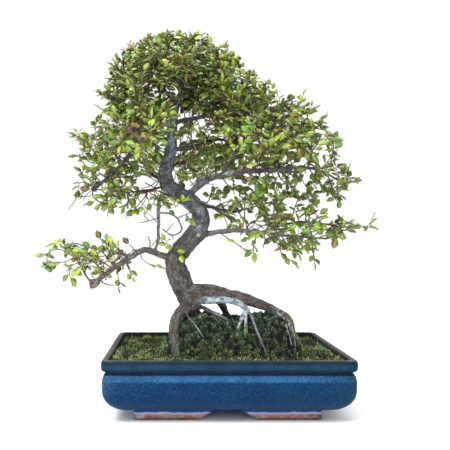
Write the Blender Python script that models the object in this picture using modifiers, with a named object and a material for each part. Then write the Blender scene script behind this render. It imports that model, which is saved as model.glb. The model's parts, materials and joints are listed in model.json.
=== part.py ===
"""Chinese elm bonsai in a blue glazed pot.

A trunk bends up from exposed roots on a mossy mound. Boughs leave it to both sides and to the back,
and each leafy spray is one twig with its side twigs and leaves. The pot is a rectangular tray with a
rolled rim and four corner feet.

The lists are in millimetres, from the middle of the pot: X to the right, Y to the back, Z up from the
surface that the feet stand on. The finished object is moved so that its own box is centred on Z.
"""

import math
import random

import bmesh
import bpy
import numpy as np
from mathutils import Matrix, Vector
from mathutils.bvhtree import BVHTree

MM = 0.001
GAP = 0.3

# Pot
RIM_LENGTH = 303.0
RIM_WIDTH = 210.0
FOOT_HEIGHT = 10.5
FLOOR_TOP = 18.5
OUTER_CORNER = 6.0
INNER_CORNER = 5.0
CORNER_STEPS = 2
BELLY_TOP = 40.5
BELLY_INSET = 0.8
BELLY_REACH = 33.0
BOWL_TOP = 45.0
BOWL_INSET = 9.3
BOWL_REACH = 28.7
QUARTER_STEPS = 4
DRAIN_HOLE = 16.0
DRAIN_X = 58.0

# Height and inset from the rim's outline, up the outside from the belly and over the rim
RIM_PROFILE = (
    (51.0, 0.8),
    (58.0, 2.4),
    (60.5, 4.2),
    (62.0, 3.6),
    (63.2, 1.2),
    (66.0, 0.0),
    (73.0, 0.0),
    (75.3, 0.8),
    (76.0, 2.2),
    (76.0, 7.0),
    (75.0, 8.2),
    (70.5, 8.8),
)

# Feet: an L in each corner, its inner ends slanted
FOOT_OUTER_X = 113.5
FOOT_INNER_X = 35.5
FOOT_OUTER_Y = 81.0
FOOT_INNER_Y = 34.0
FOOT_LEG = 22.0
FOOT_SLANT = 21.0
FOOT_SUNK = 3.0

# Drain screens
SCREEN_SIDE = 25.0
SCREEN_THICKNESS = 1.2
SCREEN_CELLS = 3

# Soil
BED_HEIGHT = 70.0
MOUND_HEIGHT = 45.0
MOUND_LEFT = (-95.0, -40.0)
MOUND_RIGHT = (84.0, 108.0)
MOUND_FRONT = (-62.0, -16.0)
MOUND_BACK = (25.0, 70.0)
SOIL_RINGS = (0.90, 0.79, 0.72, 0.64, 0.54, 0.42, 0.28, 0.12)

# Trunk: centre line with radius
TRUNK = (
    (-43, -2, 122, 13.0),
    (-45, 0, 136, 14.5),
    (-52, 3, 150, 15.0),
    (-57, 4, 163, 15.0),
    (-63, 4, 177, 14.2),
    (-64, 2, 191, 13.6),
    (-56, 0, 204, 13.0),
    (-44, -4, 218, 12.5),
    (-34, -7, 231, 12.3),
    (-30, -8, 245, 12.0),
    (-33, -6, 258, 11.8),
    (-44, -2, 270, 11.4),
    (-60, 2, 280, 11.0),
    (-73, 5, 291, 10.6),
    (-78, 7, 306, 9.8),
    (-75, 7, 324, 8.8),
    (-70, 5, 341, 7.8),
    (-69, 3, 361, 7.0),
    (-67, 1, 378, 6.2),
    (-65, 0, 394, 5.6),
    (-60, 0, 410, 4.8),
)

# Roots: radius at the trunk, radius at the tip, centre line
ROOTS = {
    "left": (9.5, 4.4, (
        (-47, 0, 132),
        (-51, -5, 125),
        (-59, -12, 117),
        (-64, -20, 108),
        (-66, -30, 97),
        (-64, -39, 86),
        (-63, -46, 76),
        (-62, -52, 62),
    )),
    "right": (10.5, 3.6, (
        (-48, 0, 146),
        (-35, -3, 149),
        (-17, -6, 149),
        (-4, -8, 146),
        (9, -10, 143),
        (22, -12, 141),
        (35, -13, 137),
        (49, -14, 132),
        (62, -16, 127),
        (74, -19, 121),
        (83, -23, 115),
        (87, -29, 104),
        (87, -36, 88),
    )),
    "right_drop": (2.6, 1.6, (
        (84, -25, 110),
        (88, -36, 99),
        (89, -43, 86),
        (88, -51, 76),
        (87, -55, 62),
    )),
    "right_drop_left": (2.4, 1.5, (
        (78, -22, 117),
        (79, -31, 107),
        (77, -36, 96),
        (78, -41, 82),
    )),
    "pale": (5.5, 4.0, (
        (-42, -8, 136),
        (-25, -14, 135),
        (-11, -17, 137),
        (3, -19, 137),
        (15, -20, 136),
        (25, -21, 132),
        (33, -23, 125),
    )),
    "pale_front": (3.2, 1.7, (
        (29, -21, 130),
        (34, -26, 118),
        (38, -32, 109),
        (42, -38, 99),
        (46, -44, 89),
        (49, -50, 79),
        (51, -55, 64),
    )),
    "pale_left": (2.8, 1.5, (
        (29, -21, 130),
        (24, -25, 118),
        (20, -29, 109),
        (16, -33, 99),
        (15, -35, 90),
    )),
    "pale_middle": (2.6, 1.4, (
        (28, -21, 130),
        (28, -27, 117),
        (27, -32, 106),
        (26, -35, 91),
    )),
    "thin_front": (2.2, 1.4, (
        (-50, -10, 127),
        (-45, -20, 116),
        (-38, -26, 109),
        (-32, -33, 100),
        (-26, -39, 91),
        (-24, -42, 80),
    )),
    "back": (6.5, 3.5, (
        (-16, 2, 142),
        (-4, 13, 134),
        (4, 24, 122),
        (11, 34, 104),
        (14, 38, 90),
    )),
    "low": (4.5, 2.2, (
        (-42, 0, 132),
        (-27, -6, 128),
        (-14, -9, 121),
        (-3, -11, 115),
        (8, -13, 107),
    )),
    "back_left": (6.5, 2.5, (
        (-46, 2, 132),
        (-57, 14, 120),
        (-65, 26, 106),
        (-70, 36, 88),
        (-72, 40, 76),
    )),
    "core": (11.0, 7.0, (
        (-44, 0, 132),
        (-41, 4, 119),
        (-38, 8, 102),
    )),
}

# Boughs: radius at the trunk, radius at the tip, where the first spray leaves it, number of sprays,
# whether the last spray grows on from the tip, centre line
BOUGHS = {
    "upper_right": (4.8, 1.3, 0.30, 5, True, (
        (-44, -2, 281),
        (-24, -8, 297),
        (-2, -14, 304),
        (21, -20, 307),
        (47, -24, 308),
        (73, -25, 310),
        (100, -23, 313),
        (125, -18, 310),
        (146, -14, 301),
    )),
    "upper_right_fork": (2.8, 1.2, 0.55, 2, True, (
        (-2, -14, 304),
        (10, -24, 322),
        (23, -36, 338),
        (38, -48, 346),
    )),
    "second_right": (3.2, 1.4, 0.60, 2, True, (
        (-29, -4, 268),
        (-17, 6, 264),
        (-6, 16, 261),
        (6, 26, 259),
        (18, 38, 258),
        (34, 52, 262),
    )),
    "lower_right": (3.6, 1.3, 0.40, 5, True, (
        (-34, -6, 218),
        (-18, -9, 226),
        (-4, -13, 229),
        (19, -18, 230),
        (47, -22, 228),
        (74, -22, 224),
        (101, -20, 222),
        (131, -16, 220),
    )),
    "lower_right_upper": (1.9, 1.1, 0.60, 2, True, (
        (50, -22, 228),
        (74, -10, 236),
        (104, 2, 242),
        (136, 8, 240),
    )),
    "lower_left": (4.6, 2.7, 0.55, 4, False, (
        (-66, 2, 188),
        (-84, -4, 198),
        (-98, -9, 203),
        (-108, -12, 203),
        (-124, -18, 195),
        (-143, -24, 182),
        (-160, -29, 169),
        (-173, -33, 157),
    )),
    "middle_left": (4.3, 1.4, 0.50, 4, True, (
        (-70, 4, 366),
        (-91, -8, 357),
        (-107, -15, 346),
        (-124, -20, 330),
        (-137, -22, 315),
        (-148, -22, 304),
        (-163, -20, 292),
    )),
    "left_twig": (2.0, 1.2, 0.85, 1, True, (
        (-76, 6, 300),
        (-99, 15, 307),
        (-123, 24, 314),
        (-140, 32, 316),
    )),
    "low_twig": (1.9, 1.1, 0.90, 1, True, (
        (-74, 5, 292),
        (-92, -8, 286),
        (-108, -18, 283),
        (-130, -28, 280),
    )),
    "front_left": (2.8, 1.2, 0.55, 2, True, (
        (-107, -15, 346),
        (-106, -34, 352),
        (-112, -56, 356),
        (-118, -74, 354),
    )),
    "back_left": (3.2, 1.3, 0.50, 2, True, (
        (-70, 5, 352),
        (-84, 24, 362),
        (-102, 48, 368),
        (-118, 70, 366),
    )),
    "back": (3.6, 1.3, 0.50, 3, True, (
        (-74, 6, 312),
        (-66, 30, 324),
        (-50, 56, 332),
        (-30, 80, 334),
    )),
    "middle_right": (3.2, 1.3, 0.40, 4, True, (
        (-71, 5, 342),
        (-51, 12, 344),
        (-31, 20, 350),
        (-8, 28, 360),
        (26, 38, 357),
        (58, 46, 354),
    )),
    "crown_right": (3.2, 1.2, 0.45, 4, True, (
        (-66, 1, 377),
        (-44, -12, 378),
        (-16, -24, 381),
        (13, -32, 382),
        (45, -34, 384),
    )),
    "apex_left": (3.4, 1.2, 0.40, 2, True, (
        (-62, 0, 404),
        (-78, 7, 421),
        (-96, 12, 434),
        (-112, 14, 440),
    )),
    "apex_up": (3.6, 1.2, 0.50, 3, True, (
        (-61, 0, 406),
        (-53, -6, 430),
        (-50, -8, 450),
        (-50, -4, 466),
    )),
    "apex_right": (3.2, 1.2, 0.50, 3, True, (
        (-62, 0, 402),
        (-34, 8, 416),
        (-8, 15, 428),
        (14, 18, 436),
    )),
    "apex_back": (2.6, 1.2, 0.90, 1, True, (
        (-60, 1, 408),
        (-58, 22, 422),
        (-56, 46, 432),
    )),
    "apex_front": (2.4, 1.2, 0.90, 1, True, (
        (-55, -5, 424),
        (-60, -24, 434),
        (-64, -44, 438),
    )),
}

# Sides of the trunk and of wood that is thick or thin where it starts
TRUNK_SIDES = 12
THICK_WOOD_SIDES = 6
THIN_WOOD_SIDES = 4
THIN_WOOD = 3.3

# Bare wood that carries no leaves: radius at each end, centre line
BARE_WOOD = {
    "sawn_stub": (4.6, 4.2, (
        (-68, 1, 372),
        (-77, -6, 375),
        (-83, -12, 376),
    )),
    "dead_branch": (2.4, 1.6, (
        (-75, 4, 285),
        (-84, -8, 273),
        (-87, -11, 258),
        (-86, -12, 244),
        (-87, -12, 231),
        (-87, -11, 218),
        (-91, -10, 205),
    )),
    "dead_curl": (1.3, 1.0, (
        (-86, -11, 256),
        (-71, -16, 251),
        (-60, -20, 238),
        (-62, -22, 229),
        (-75, -22, 227),
    )),
}

# Foliage pads: centre, half sizes, number of points that twigs reach for
PADS = (
    ((-60, -2, 446), (84, 78, 50), 300),
    ((-110, 0, 410), (46, 66, 46), 130),
    ((-150, -4, 338), (54, 72, 44), 170),
    ((-112, -66, 354), (44, 44, 32), 60),
    ((-112, 66, 364), (48, 46, 34), 70),
    ((-160, -6, 296), (42, 52, 26), 60),
    ((20, 0, 402), (54, 70, 40), 170),
    ((68, -6, 370), (56, 66, 38), 120),
    ((104, -14, 328), (60, 70, 42), 180),
    ((148, -12, 300), (26, 40, 24), 40),
    ((30, -60, 342), (54, 44, 34), 80),
    ((40, 62, 350), (64, 46, 36), 100),
    ((-38, 86, 338), (62, 42, 38), 90),
    ((62, -16, 280), (84, 52, 25), 110),
    ((34, 50, 266), (46, 40, 22), 40),
    ((92, -14, 231), (76, 50, 25), 150),
    ((168, -4, 233), (34, 28, 13), 24),
    ((-178, -22, 196), (56, 46, 28), 100),
    ((-132, -12, 184), (28, 30, 20), 16),
    ((-138, -10, 270), (42, 46, 16), 44),
)

# Clear space round the bare middle of the trunk: centre, half sizes
CLEARINGS = (
    ((-58, -10, 350), (38, 60, 44)),
    ((-60, -10, 262), (52, 60, 40)),
)

# Growth
SEED = 27
STEP = 8.0
FIRST_STEP = 6.0
REACHED = 7.0
SIGHT = 62.0
STRAIGHTNESS = 0.7
LIFT = 0.10
ROUNDS = 60
WOOD_CLEARANCE = 3.0
MOST_CHILDREN = 3

# Twigs and leaves
TWIG_SIDES = 3
TWIG_TIP = 0.8
TWIG_BASE = 1.3
LEAST_JOINTS = 6
JOINTS_PER_TIP = 20.0
FEWEST_TIPS = 2
MOST_TIPS = 4
LEAVES_PER_TIP = 2.5
JOINTS_PER_LENGTH = 3
LEAF_LENGTH = (11.5, 15.0)
LEAF_WIDTH = 0.56
LEAF_THICKNESS = 0.9
LEAF_FOLD = 0.05
# Share of a leaf's length at which its blade starts, inside the twig
LEAF_START = 0.01
LEAF_SPREAD = math.radians(52)
# Distance below the tip and side, as a share of the spread, of the leaves at a twig's tip
TIP_LEAVES = ((0.3, 0.15), (2.6, -1.0), (4.9, 1.0))
CLEARANCE = 0.35
# How much further out a spray may start where its first gap above the wood is too narrow
SEAT_RISES = (0.0, 0.3, 0.6, 0.9, 1.2, 1.5)


def unit(vector):
    length = float(np.linalg.norm(vector))
    return vector / length if length > 1e-9 else np.array((0.0, 0.0, 1.0))


def smooth_step(low, high, value):
    t = min(max((value - low) / (high - low), 0.0), 1.0)
    return t * t * (3.0 - 2.0 * t)


# Blender objects

def new_collection(name):
    collection = bpy.data.collections.new(name)
    bpy.context.scene.collection.children.link(collection)
    return collection


def move_to(made, collection):
    """Takes an object out of its collections and puts it in another."""
    for holder in list(made.users_collection):
        holder.objects.unlink(made)
    collection.objects.link(made)


def material(name, colour, roughness):
    """A Principled material in one colour."""
    made = bpy.data.materials.new(name)
    made.use_nodes = True
    shader = made.node_tree.nodes["Principled BSDF"]
    shader.inputs["Base Color"].default_value = (*colour, 1.0)
    shader.inputs["Roughness"].default_value = roughness
    shader.inputs["Metallic"].default_value = 0.0
    made.diffuse_color = (*colour, 1.0)
    return made


def mesh_object(name, vertices, faces, collection):
    """An object from vertices in millimetres."""
    mesh = bpy.data.meshes.new(name)
    mesh.from_pydata([Vector(v) * MM for v in vertices], [], faces)
    made = bpy.data.objects.new(name, mesh)
    collection.objects.link(made)
    return made


def triangulate(made):
    """Splits every face into triangles, so that a later cut leaves all of them flat."""
    work = bmesh.new()
    work.from_mesh(made.data)
    bmesh.ops.triangulate(work, faces=work.faces)
    work.to_mesh(made.data)
    work.free()


def three_sided_profile():
    """A triangle that a three-sided tube's curve is swept with, one metre from middle to corner."""
    profile = bpy.data.curves.new("three_sided_profile", "CURVE")
    profile.dimensions = "2D"
    spline = profile.splines.new("POLY")
    spline.points.add(2)
    for index, point in enumerate(spline.points):
        angle = 2.0 * math.pi * index / 3
        point.co = (math.cos(angle), math.sin(angle), 0.0, 1.0)
    spline.use_cyclic_u = True
    made = bpy.data.objects.new("three_sided_profile", profile)
    bpy.context.scene.collection.objects.link(made)
    return made


def tube(name, centre_line, collection, sides, swell=0.0):
    """A closed tube through points with radii, made from a bevelled curve."""
    curve = bpy.data.curves.new(name, "CURVE")
    curve.dimensions = "3D"
    if sides == 3:
        curve.bevel_mode = "OBJECT"
        curve.bevel_object = bpy.data.objects.get("three_sided_profile") or three_sided_profile()
    else:
        curve.bevel_depth = 1.0
        curve.bevel_resolution = (sides - 4) // 2
    curve.use_fill_caps = True
    spline = curve.splines.new("POLY")
    spline.points.add(len(centre_line) - 1)
    for point, (x, y, z, radius) in zip(spline.points, centre_line):
        point.co = (x * MM, y * MM, z * MM, 1.0)
        point.radius = (radius + swell) * MM
    source = bpy.data.objects.new(name + "_curve", curve)
    collection.objects.link(source)
    bpy.context.view_layer.update()
    evaluated = source.evaluated_get(bpy.context.evaluated_depsgraph_get())
    mesh = bpy.data.meshes.new_from_object(evaluated)
    made = bpy.data.objects.new(name, mesh)
    made.matrix_world = source.matrix_world
    collection.objects.link(made)
    bpy.data.objects.remove(source)
    bpy.data.curves.remove(curve)
    mesh.materials.clear()
    work = bmesh.new()
    work.from_mesh(mesh)
    bmesh.ops.remove_doubles(work, verts=work.verts, dist=1e-6)
    bmesh.ops.recalc_face_normals(work, faces=work.faces)
    work.to_mesh(mesh)
    work.free()
    return made


def combine(target, collection, operation, solver="EXACT"):
    """Joins the collection's objects to the target, or cuts them from it, and removes them."""
    boolean = target.modifiers.new(operation.title(), "BOOLEAN")
    boolean.operand_type = "COLLECTION"
    boolean.collection = collection
    boolean.operation = operation
    boolean.solver = solver
    bpy.context.view_layer.update()
    evaluated = target.evaluated_get(bpy.context.evaluated_depsgraph_get())
    mesh = bpy.data.meshes.new_from_object(evaluated)
    target.modifiers.clear()
    target.data = mesh
    for operand in list(collection.objects):
        bpy.data.objects.remove(operand)
    bpy.data.collections.remove(collection)


def keep_largest_body(target):
    """Drops loose scraps and the walls of sealed hollows that a Boolean leaves."""
    work = bmesh.new()
    work.from_mesh(target.data)
    left = set(work.verts)
    bodies = []
    while left:
        body = set()
        front = [left.pop()]
        while front:
            vertex = front.pop()
            body.add(vertex)
            for edge in vertex.link_edges:
                other = edge.other_vert(vertex)
                if other in left:
                    left.remove(other)
                    front.append(other)
        bodies.append(body)
    bodies.sort(key=len)
    scraps = [vertex for body in bodies[:-1] for vertex in body]
    bmesh.ops.delete(work, geom=scraps, context="VERTS")
    work.to_mesh(target.data)
    work.free()


def finish(target, surface, smooth_angle=40):
    """Gives a finished piece its material and shading."""
    target.data.materials.clear()
    target.data.materials.append(surface)
    target.data.shade_smooth()
    target.data.set_sharp_from_angle(angle=math.radians(smooth_angle))


# Pot

def rounded_rectangle(half_length, half_width, radius, corner_steps, long_steps=1, short_steps=1):
    """Points round a rectangle with round corners, anticlockwise from its right side's low corner."""
    corners = (
        (half_length - radius, -half_width + radius, -90, short_steps),
        (half_length - radius, half_width - radius, 0, long_steps),
        (-half_length + radius, half_width - radius, 90, short_steps),
        (-half_length + radius, -half_width + radius, 180, long_steps),
    )
    points = []
    for index, (x, y, start, side_steps) in enumerate(corners):
        for step in range(corner_steps + 1):
            angle = math.radians(start + 90.0 * step / corner_steps)
            points.append((x + radius * math.cos(angle), y + radius * math.sin(angle)))
        next_x, next_y, next_start, _ = corners[(index + 1) % 4]
        angle = math.radians(next_start)
        last = points[-1]
        goal = (next_x + radius * math.cos(angle), next_y + radius * math.sin(angle))
        for step in range(1, side_steps):
            share = step / side_steps
            points.append((last[0] + (goal[0] - last[0]) * share, last[1] + (goal[1] - last[1]) * share))
    return points


def loft(rings):
    """Faces between rings of the same number of points, with both ends closed."""
    count = len(rings[0])
    vertices = [point for ring in rings for point in ring]
    faces = []
    for ring in range(len(rings) - 1):
        for point in range(count):
            following = (point + 1) % count
            low = ring * count
            high = low + count
            faces.append((low + point, low + following, high + following, high + point))
    faces.append(tuple(reversed(range(count))))
    last = (len(rings) - 1) * count
    faces.append(tuple(range(last, last + count)))
    return vertices, faces


def quarter_round(top, inset, reach, bottom, clearance=0.0):
    """Height and inset down a quarter of an ellipse, from the flat floor up to the wall."""
    drop = top - bottom
    profile = []
    for step in range(QUARTER_STEPS + 1):
        angle = math.radians(90.0 * (1.0 - step / QUARTER_STEPS))
        profile.append((
            top - (drop - clearance) * math.sin(angle),
            inset + reach - (reach - clearance) * math.cos(angle),
        ))
    return profile


def pot_ring(height, inset, radius, **steps):
    outline = rounded_rectangle(RIM_LENGTH / 2 - inset, RIM_WIDTH / 2 - inset, radius, CORNER_STEPS, **steps)
    return [(x, y, height) for x, y in outline]


def make_feet(collection):
    """Four L-shaped feet, mirrored from one, sunk into the pot's floor."""
    outline = (
        (FOOT_INNER_X, -FOOT_OUTER_Y),
        (FOOT_OUTER_X, -FOOT_OUTER_Y),
        (FOOT_OUTER_X, -FOOT_INNER_Y),
        (FOOT_OUTER_X - FOOT_LEG, -FOOT_INNER_Y),
        (FOOT_OUTER_X - FOOT_LEG, -FOOT_OUTER_Y + FOOT_LEG),
        (FOOT_INNER_X, -FOOT_OUTER_Y + FOOT_LEG),
    )
    slanted = {0: (-FOOT_SLANT, 0.0), 5: (-FOOT_SLANT, 0.0), 2: (0.0, FOOT_SLANT), 3: (0.0, FOOT_SLANT)}
    bottom = [(x, y, 0.0) for x, y in outline]
    top = []
    for index, (x, y) in enumerate(outline):
        move_x, move_y = slanted.get(index, (0.0, 0.0))
        top.append((x + move_x, y + move_y, FOOT_HEIGHT + FOOT_SUNK))
    vertices, faces = loft((bottom, top))
    for side_x, side_y in ((1, 1), (-1, 1), (1, -1), (-1, -1)):
        placed = [(x * side_x, y * side_y, z) for x, y, z in vertices]
        turned = faces if side_x * side_y > 0 else [tuple(reversed(face)) for face in faces]
        mesh_object("foot", placed, turned, collection)


def make_pot(collection):
    outside = [(z, inset, OUTER_CORNER) for z, inset in
               quarter_round(BELLY_TOP, BELLY_INSET, BELLY_REACH, FOOT_HEIGHT)]
    rim = [(z, inset, OUTER_CORNER if inset < 5.0 else INNER_CORNER) for z, inset in RIM_PROFILE]
    inside = [(z, inset, INNER_CORNER) for z, inset in
              reversed(quarter_round(BOWL_TOP, BOWL_INSET, BOWL_REACH, FLOOR_TOP))]
    rings = [pot_ring(*level) for level in outside + rim + inside]
    pot = mesh_object("pot", *loft(rings), collection)
    feet = new_collection("feet")
    make_feet(feet)
    combine(pot, feet, "UNION")
    drills = new_collection("drills")
    for side in (-1, 1):
        bpy.ops.mesh.primitive_cylinder_add(
            vertices=12, radius=DRAIN_HOLE / 2 * MM, depth=30 * MM,
            location=(side * DRAIN_X * MM, 0.0, FLOOR_TOP * MM))
        move_to(bpy.context.object, drills)
    combine(pot, drills, "DIFFERENCE")
    finish(pot, material("blue_glaze", (0.03, 0.10, 0.22), 0.25))
    return pot


def make_screen(name, side, collection):
    """A square of plastic mesh that lies over a drain hole."""
    work = bmesh.new()
    bmesh.ops.create_grid(work, x_segments=SCREEN_CELLS, y_segments=SCREEN_CELLS, size=SCREEN_SIDE / 2 * MM)
    cell = SCREEN_SIDE * MM / SCREEN_CELLS
    holes = []
    for face in work.faces:
        centre = face.calc_center_median()
        column = round(centre.x / cell + (SCREEN_CELLS - 1) / 2)
        row = round(centre.y / cell + (SCREEN_CELLS - 1) / 2)
        if column % 2 and row % 2:
            holes.append(face)
    bmesh.ops.delete(work, geom=holes, context="FACES")
    mesh = bpy.data.meshes.new(name)
    work.to_mesh(mesh)
    work.free()
    screen = bpy.data.objects.new(name, mesh)
    collection.objects.link(screen)
    screen.location = (side * DRAIN_X * MM, 0.0, (FLOOR_TOP + GAP + SCREEN_THICKNESS) * MM)
    wall = screen.modifiers.new("Thickness", "SOLIDIFY")
    wall.thickness = SCREEN_THICKNESS * MM
    wall.offset = -1.0
    finish(screen, material("screen_plastic", (0.05, 0.05, 0.05), 0.5))
    return screen


# Soil

def ground(x, y):
    """Height of the soil: a level bed with the mound that the roots stand on."""
    across = smooth_step(*MOUND_LEFT, x) * (1.0 - smooth_step(*MOUND_RIGHT, x))
    along = smooth_step(*MOUND_FRONT, y) * (1.0 - smooth_step(*MOUND_BACK, y))
    ripple = 3.0 * math.cos((x - 65.0) / 15.0) * across * along
    unevenness = 0.8 * math.sin(x / 17.0) * math.cos(y / 13.0)
    return BED_HEIGHT + MOUND_HEIGHT * across * along + ripple + unevenness


def make_soil(collection, trunk_parts):
    steps = {"long_steps": 7, "short_steps": 4}
    radius = INNER_CORNER - GAP
    profile = quarter_round(BOWL_TOP, BOWL_INSET, BOWL_REACH, FLOOR_TOP, clearance=GAP)
    rings = [pot_ring(z, inset, radius, **steps) for z, inset in profile]
    edge = pot_ring(BED_HEIGHT - 1.0, RIM_PROFILE[-1][1] + 2 * GAP, radius, **steps)
    rings.append(edge)
    for share in SOIL_RINGS:
        rings.append([(x * share, y * share, ground(x * share, y * share)) for x, y, _ in edge])
    soil = mesh_object("soil", *loft(rings), collection)
    triangulate(soil)
    cutters = new_collection("soil_cutters")
    for name, line in trunk_parts:
        before, end = Vector(line[-2][:3]), Vector(line[-1][:3])
        reach = end + (end - before).normalized() * 2 * GAP
        longer = list(line[:-1]) + [(*reach, line[-1][3])]
        tube(name, longer, cutters, wood_sides(line), swell=2 * GAP)
    recess = (SCREEN_SIDE + 2 * GAP) * MM
    for side in (-1, 1):
        bpy.ops.mesh.primitive_cube_add(size=1.0, location=(side * DRAIN_X * MM, 0.0, FLOOR_TOP * MM))
        box = bpy.context.object
        box.scale = (recess, recess, (SCREEN_THICKNESS + 2 * GAP) * 2 * MM)
        move_to(box, cutters)
    combine(soil, cutters, "DIFFERENCE")
    keep_largest_body(soil)
    finish(soil, material("mossy_soil", (0.07, 0.10, 0.02), 0.9))
    return soil


# Wood

def tapered(start_radius, end_radius, points):
    """Points with a radius that falls evenly along the length."""
    lengths = [0.0]
    for here, there in zip(points, points[1:]):
        lengths.append(lengths[-1] + math.dist(here, there))
    return [(*point, start_radius + (end_radius - start_radius) * length / lengths[-1])
            for point, length in zip(points, lengths)]


def wood_lines():
    """Every root, bough and bare branch as a centre line with radii."""
    roots = [("root_" + name, tapered(*root)) for name, root in ROOTS.items()]
    boughs = [("bough_" + name, tapered(bough[0], bough[1], bough[5])) for name, bough in BOUGHS.items()]
    bare = [(name, tapered(*branch)) for name, branch in BARE_WOOD.items()]
    return roots, boughs, bare


def wood_sides(line):
    return THICK_WOOD_SIDES if line[0][3] > THIN_WOOD else THIN_WOOD_SIDES


def make_trunk(collection):
    roots, boughs, bare = wood_lines()
    trunk = tube("trunk", TRUNK, collection, TRUNK_SIDES)
    limbs = new_collection("limbs")
    for name, line in roots + boughs + bare:
        tube(name, line, limbs, wood_sides(line))
    combine(trunk, limbs, "UNION")
    keep_largest_body(trunk)
    finish(trunk, material("bark", (0.16, 0.12, 0.10), 0.85))
    return trunk


# Growth of the sprays

class Bud:
    """Where a spray starts on its bough, and the way it sets out."""

    def __init__(self, name, place, heading):
        self.name = name
        self.place = place
        self.heading = heading


def along(points, share):
    """The point, direction and segment share at a part of a line's length."""
    lengths = [math.dist(here, there) for here, there in zip(points, points[1:])]
    left = share * sum(lengths)
    for index, length in enumerate(lengths):
        if left <= length or index == len(lengths) - 1:
            here = np.array(points[index], float)
            there = np.array(points[index + 1], float)
            return here + (there - here) * min(left / length, 1.0), unit(there - here)
        left -= length
    return None


def make_buds():
    """Buds at even distances along each bough, to its two sides in turn, and one on its tip."""
    buds = []
    up = np.array((0.0, 0.0, 1.0))
    for bough, (start_radius, end_radius, first, count, on_tip, points) in BOUGHS.items():
        for index in range(count):
            name = f"spray_{bough}_{index + 1}"
            last = index == count - 1
            share = first + (0.97 - first) * index / max(count - 1, 1)
            if last and on_tip:
                tip, heading = along(points, 1.0)
                buds.append(Bud(name, tip + heading * GAP, heading))
                continue
            place, direction = along(points, share)
            radius = start_radius + (end_radius - start_radius) * share
            side = unit(np.cross(direction, up)) * (1.0 if index % 2 else -1.0)
            heading = unit(side + 0.55 * up)
            heading = unit(heading - direction * float(np.dot(heading, direction)))
            buds.append(Bud(name, place + heading * (radius + GAP), heading))
    return buds


def inside_ellipsoid(point, centre, half_sizes):
    return sum(((p - c) / h) ** 2 for p, c, h in zip(point, centre, half_sizes)) < 1.0


def wood_arrays():
    """The ends and radii of every piece of wood, for distances to it."""
    roots, boughs, bare = wood_lines()
    lines = [TRUNK] + [line for _, line in roots + boughs + bare]
    starts = np.array([line[i] for line in lines for i in range(len(line) - 1)], float)
    ends = np.array([line[i + 1] for line in lines for i in range(len(line) - 1)], float)
    return starts, ends


def wood_distance(point, starts, ends):
    """Distance from a point to the surface of the nearest wood."""
    run = ends[:, :3] - starts[:, :3]
    share = np.sum((point - starts[:, :3]) * run, axis=1) / np.sum(run * run, axis=1)
    share = np.clip(share, 0.0, 1.0)
    nearest = starts[:, :3] + run * share[:, None]
    radius = starts[:, 3] + (ends[:, 3] - starts[:, 3]) * share
    return float(np.min(np.linalg.norm(nearest - point, axis=1) - radius))


def pad_points(starts, ends):
    """Points spread through the pads, denser towards their outside, that the twigs reach for."""
    draw = random.Random(SEED)
    points = []
    for centre, half_sizes, count in PADS:
        made = 0
        while made < count:
            way = unit(np.array([draw.gauss(0.0, 1.0) for _ in range(3)]))
            depth = draw.random() ** 0.42
            point = np.array(centre, float) + way * depth * np.array(half_sizes, float)
            made += 1
            if any(inside_ellipsoid(point, *clearing) for clearing in CLEARINGS):
                continue
            if wood_distance(point, starts, ends) > WOOD_CLEARANCE + 2.0:
                points.append(point)
    return np.array(points)


class Twigs:
    """The joints of all twigs: where each is, what it grew from and which spray it belongs to."""

    def __init__(self, targets):
        self.places = []
        self.parents = []
        self.sprays = []
        self.children = []
        self.targets = targets
        self.nearest = np.full(len(targets), -1)
        self.distance = np.full(len(targets), np.inf)

    def add(self, place, parent, spray):
        joint = len(self.places)
        self.places.append(place)
        self.parents.append(parent)
        self.sprays.append(spray)
        self.children.append([])
        if parent >= 0:
            self.children[parent].append(joint)
        away = np.linalg.norm(self.targets - place, axis=1)
        closer = away < self.distance
        self.nearest[closer] = joint
        self.distance[closer] = away[closer]

    def heading(self, joint):
        """The direction in which a joint grew."""
        parent = self.parents[joint]
        if parent < 0:
            return unit(self.places[self.children[joint][0]] - self.places[joint])
        return unit(self.places[joint] - self.places[parent])


def grow(buds):
    """Grows all sprays together, so that each reaches only for the points that it is nearest to."""
    starts, ends = wood_arrays()
    twigs = Twigs(pad_points(starts, ends))
    up = np.array((0.0, 0.0, 1.0))
    for spray, bud in enumerate(buds):
        twigs.add(bud.place, -1, spray)
        twigs.add(bud.place + bud.heading * FIRST_STEP, len(twigs.places) - 1, spray)
    for _ in range(ROUNDS):
        pulls = {}
        for target in np.nonzero((twigs.distance > REACHED) & (twigs.distance < SIGHT))[0]:
            pulls.setdefault(int(twigs.nearest[target]), []).append(target)
        if not pulls:
            break
        for joint in sorted(pulls):
            if twigs.parents[joint] < 0 or len(twigs.children[joint]) >= MOST_CHILDREN:
                twigs.distance[pulls[joint]] = 0.0
                continue
            here = twigs.places[joint]
            pull = sum(unit(twigs.targets[target] - here) for target in pulls[joint])
            way = unit(unit(pull) + STRAIGHTNESS * twigs.heading(joint) + LIFT * up)
            place = here + way * STEP
            crowded = any(math.dist(place, twigs.places[child]) < 0.6 * STEP for child in twigs.children[joint])
            if crowded or wood_distance(place, starts, ends) < WOOD_CLEARANCE:
                twigs.distance[pulls[joint]] = 0.0
                continue
            twigs.add(place, joint, twigs.sprays[joint])
    return twigs


def joint_sets(twigs, count):
    """The joints of each spray, in the order in which they grew."""
    sets = [[] for _ in range(count)]
    for joint, spray in enumerate(twigs.sprays):
        sets[spray].append(joint)
    return sets


class Leaf:
    """A leaf's joint, how far below it the leaf stands, its direction, upper side and length."""

    def __init__(self, joint, back, heading, facing, length):
        self.joint = joint
        self.back = back
        self.heading = heading
        self.facing = facing
        self.length = length


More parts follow.
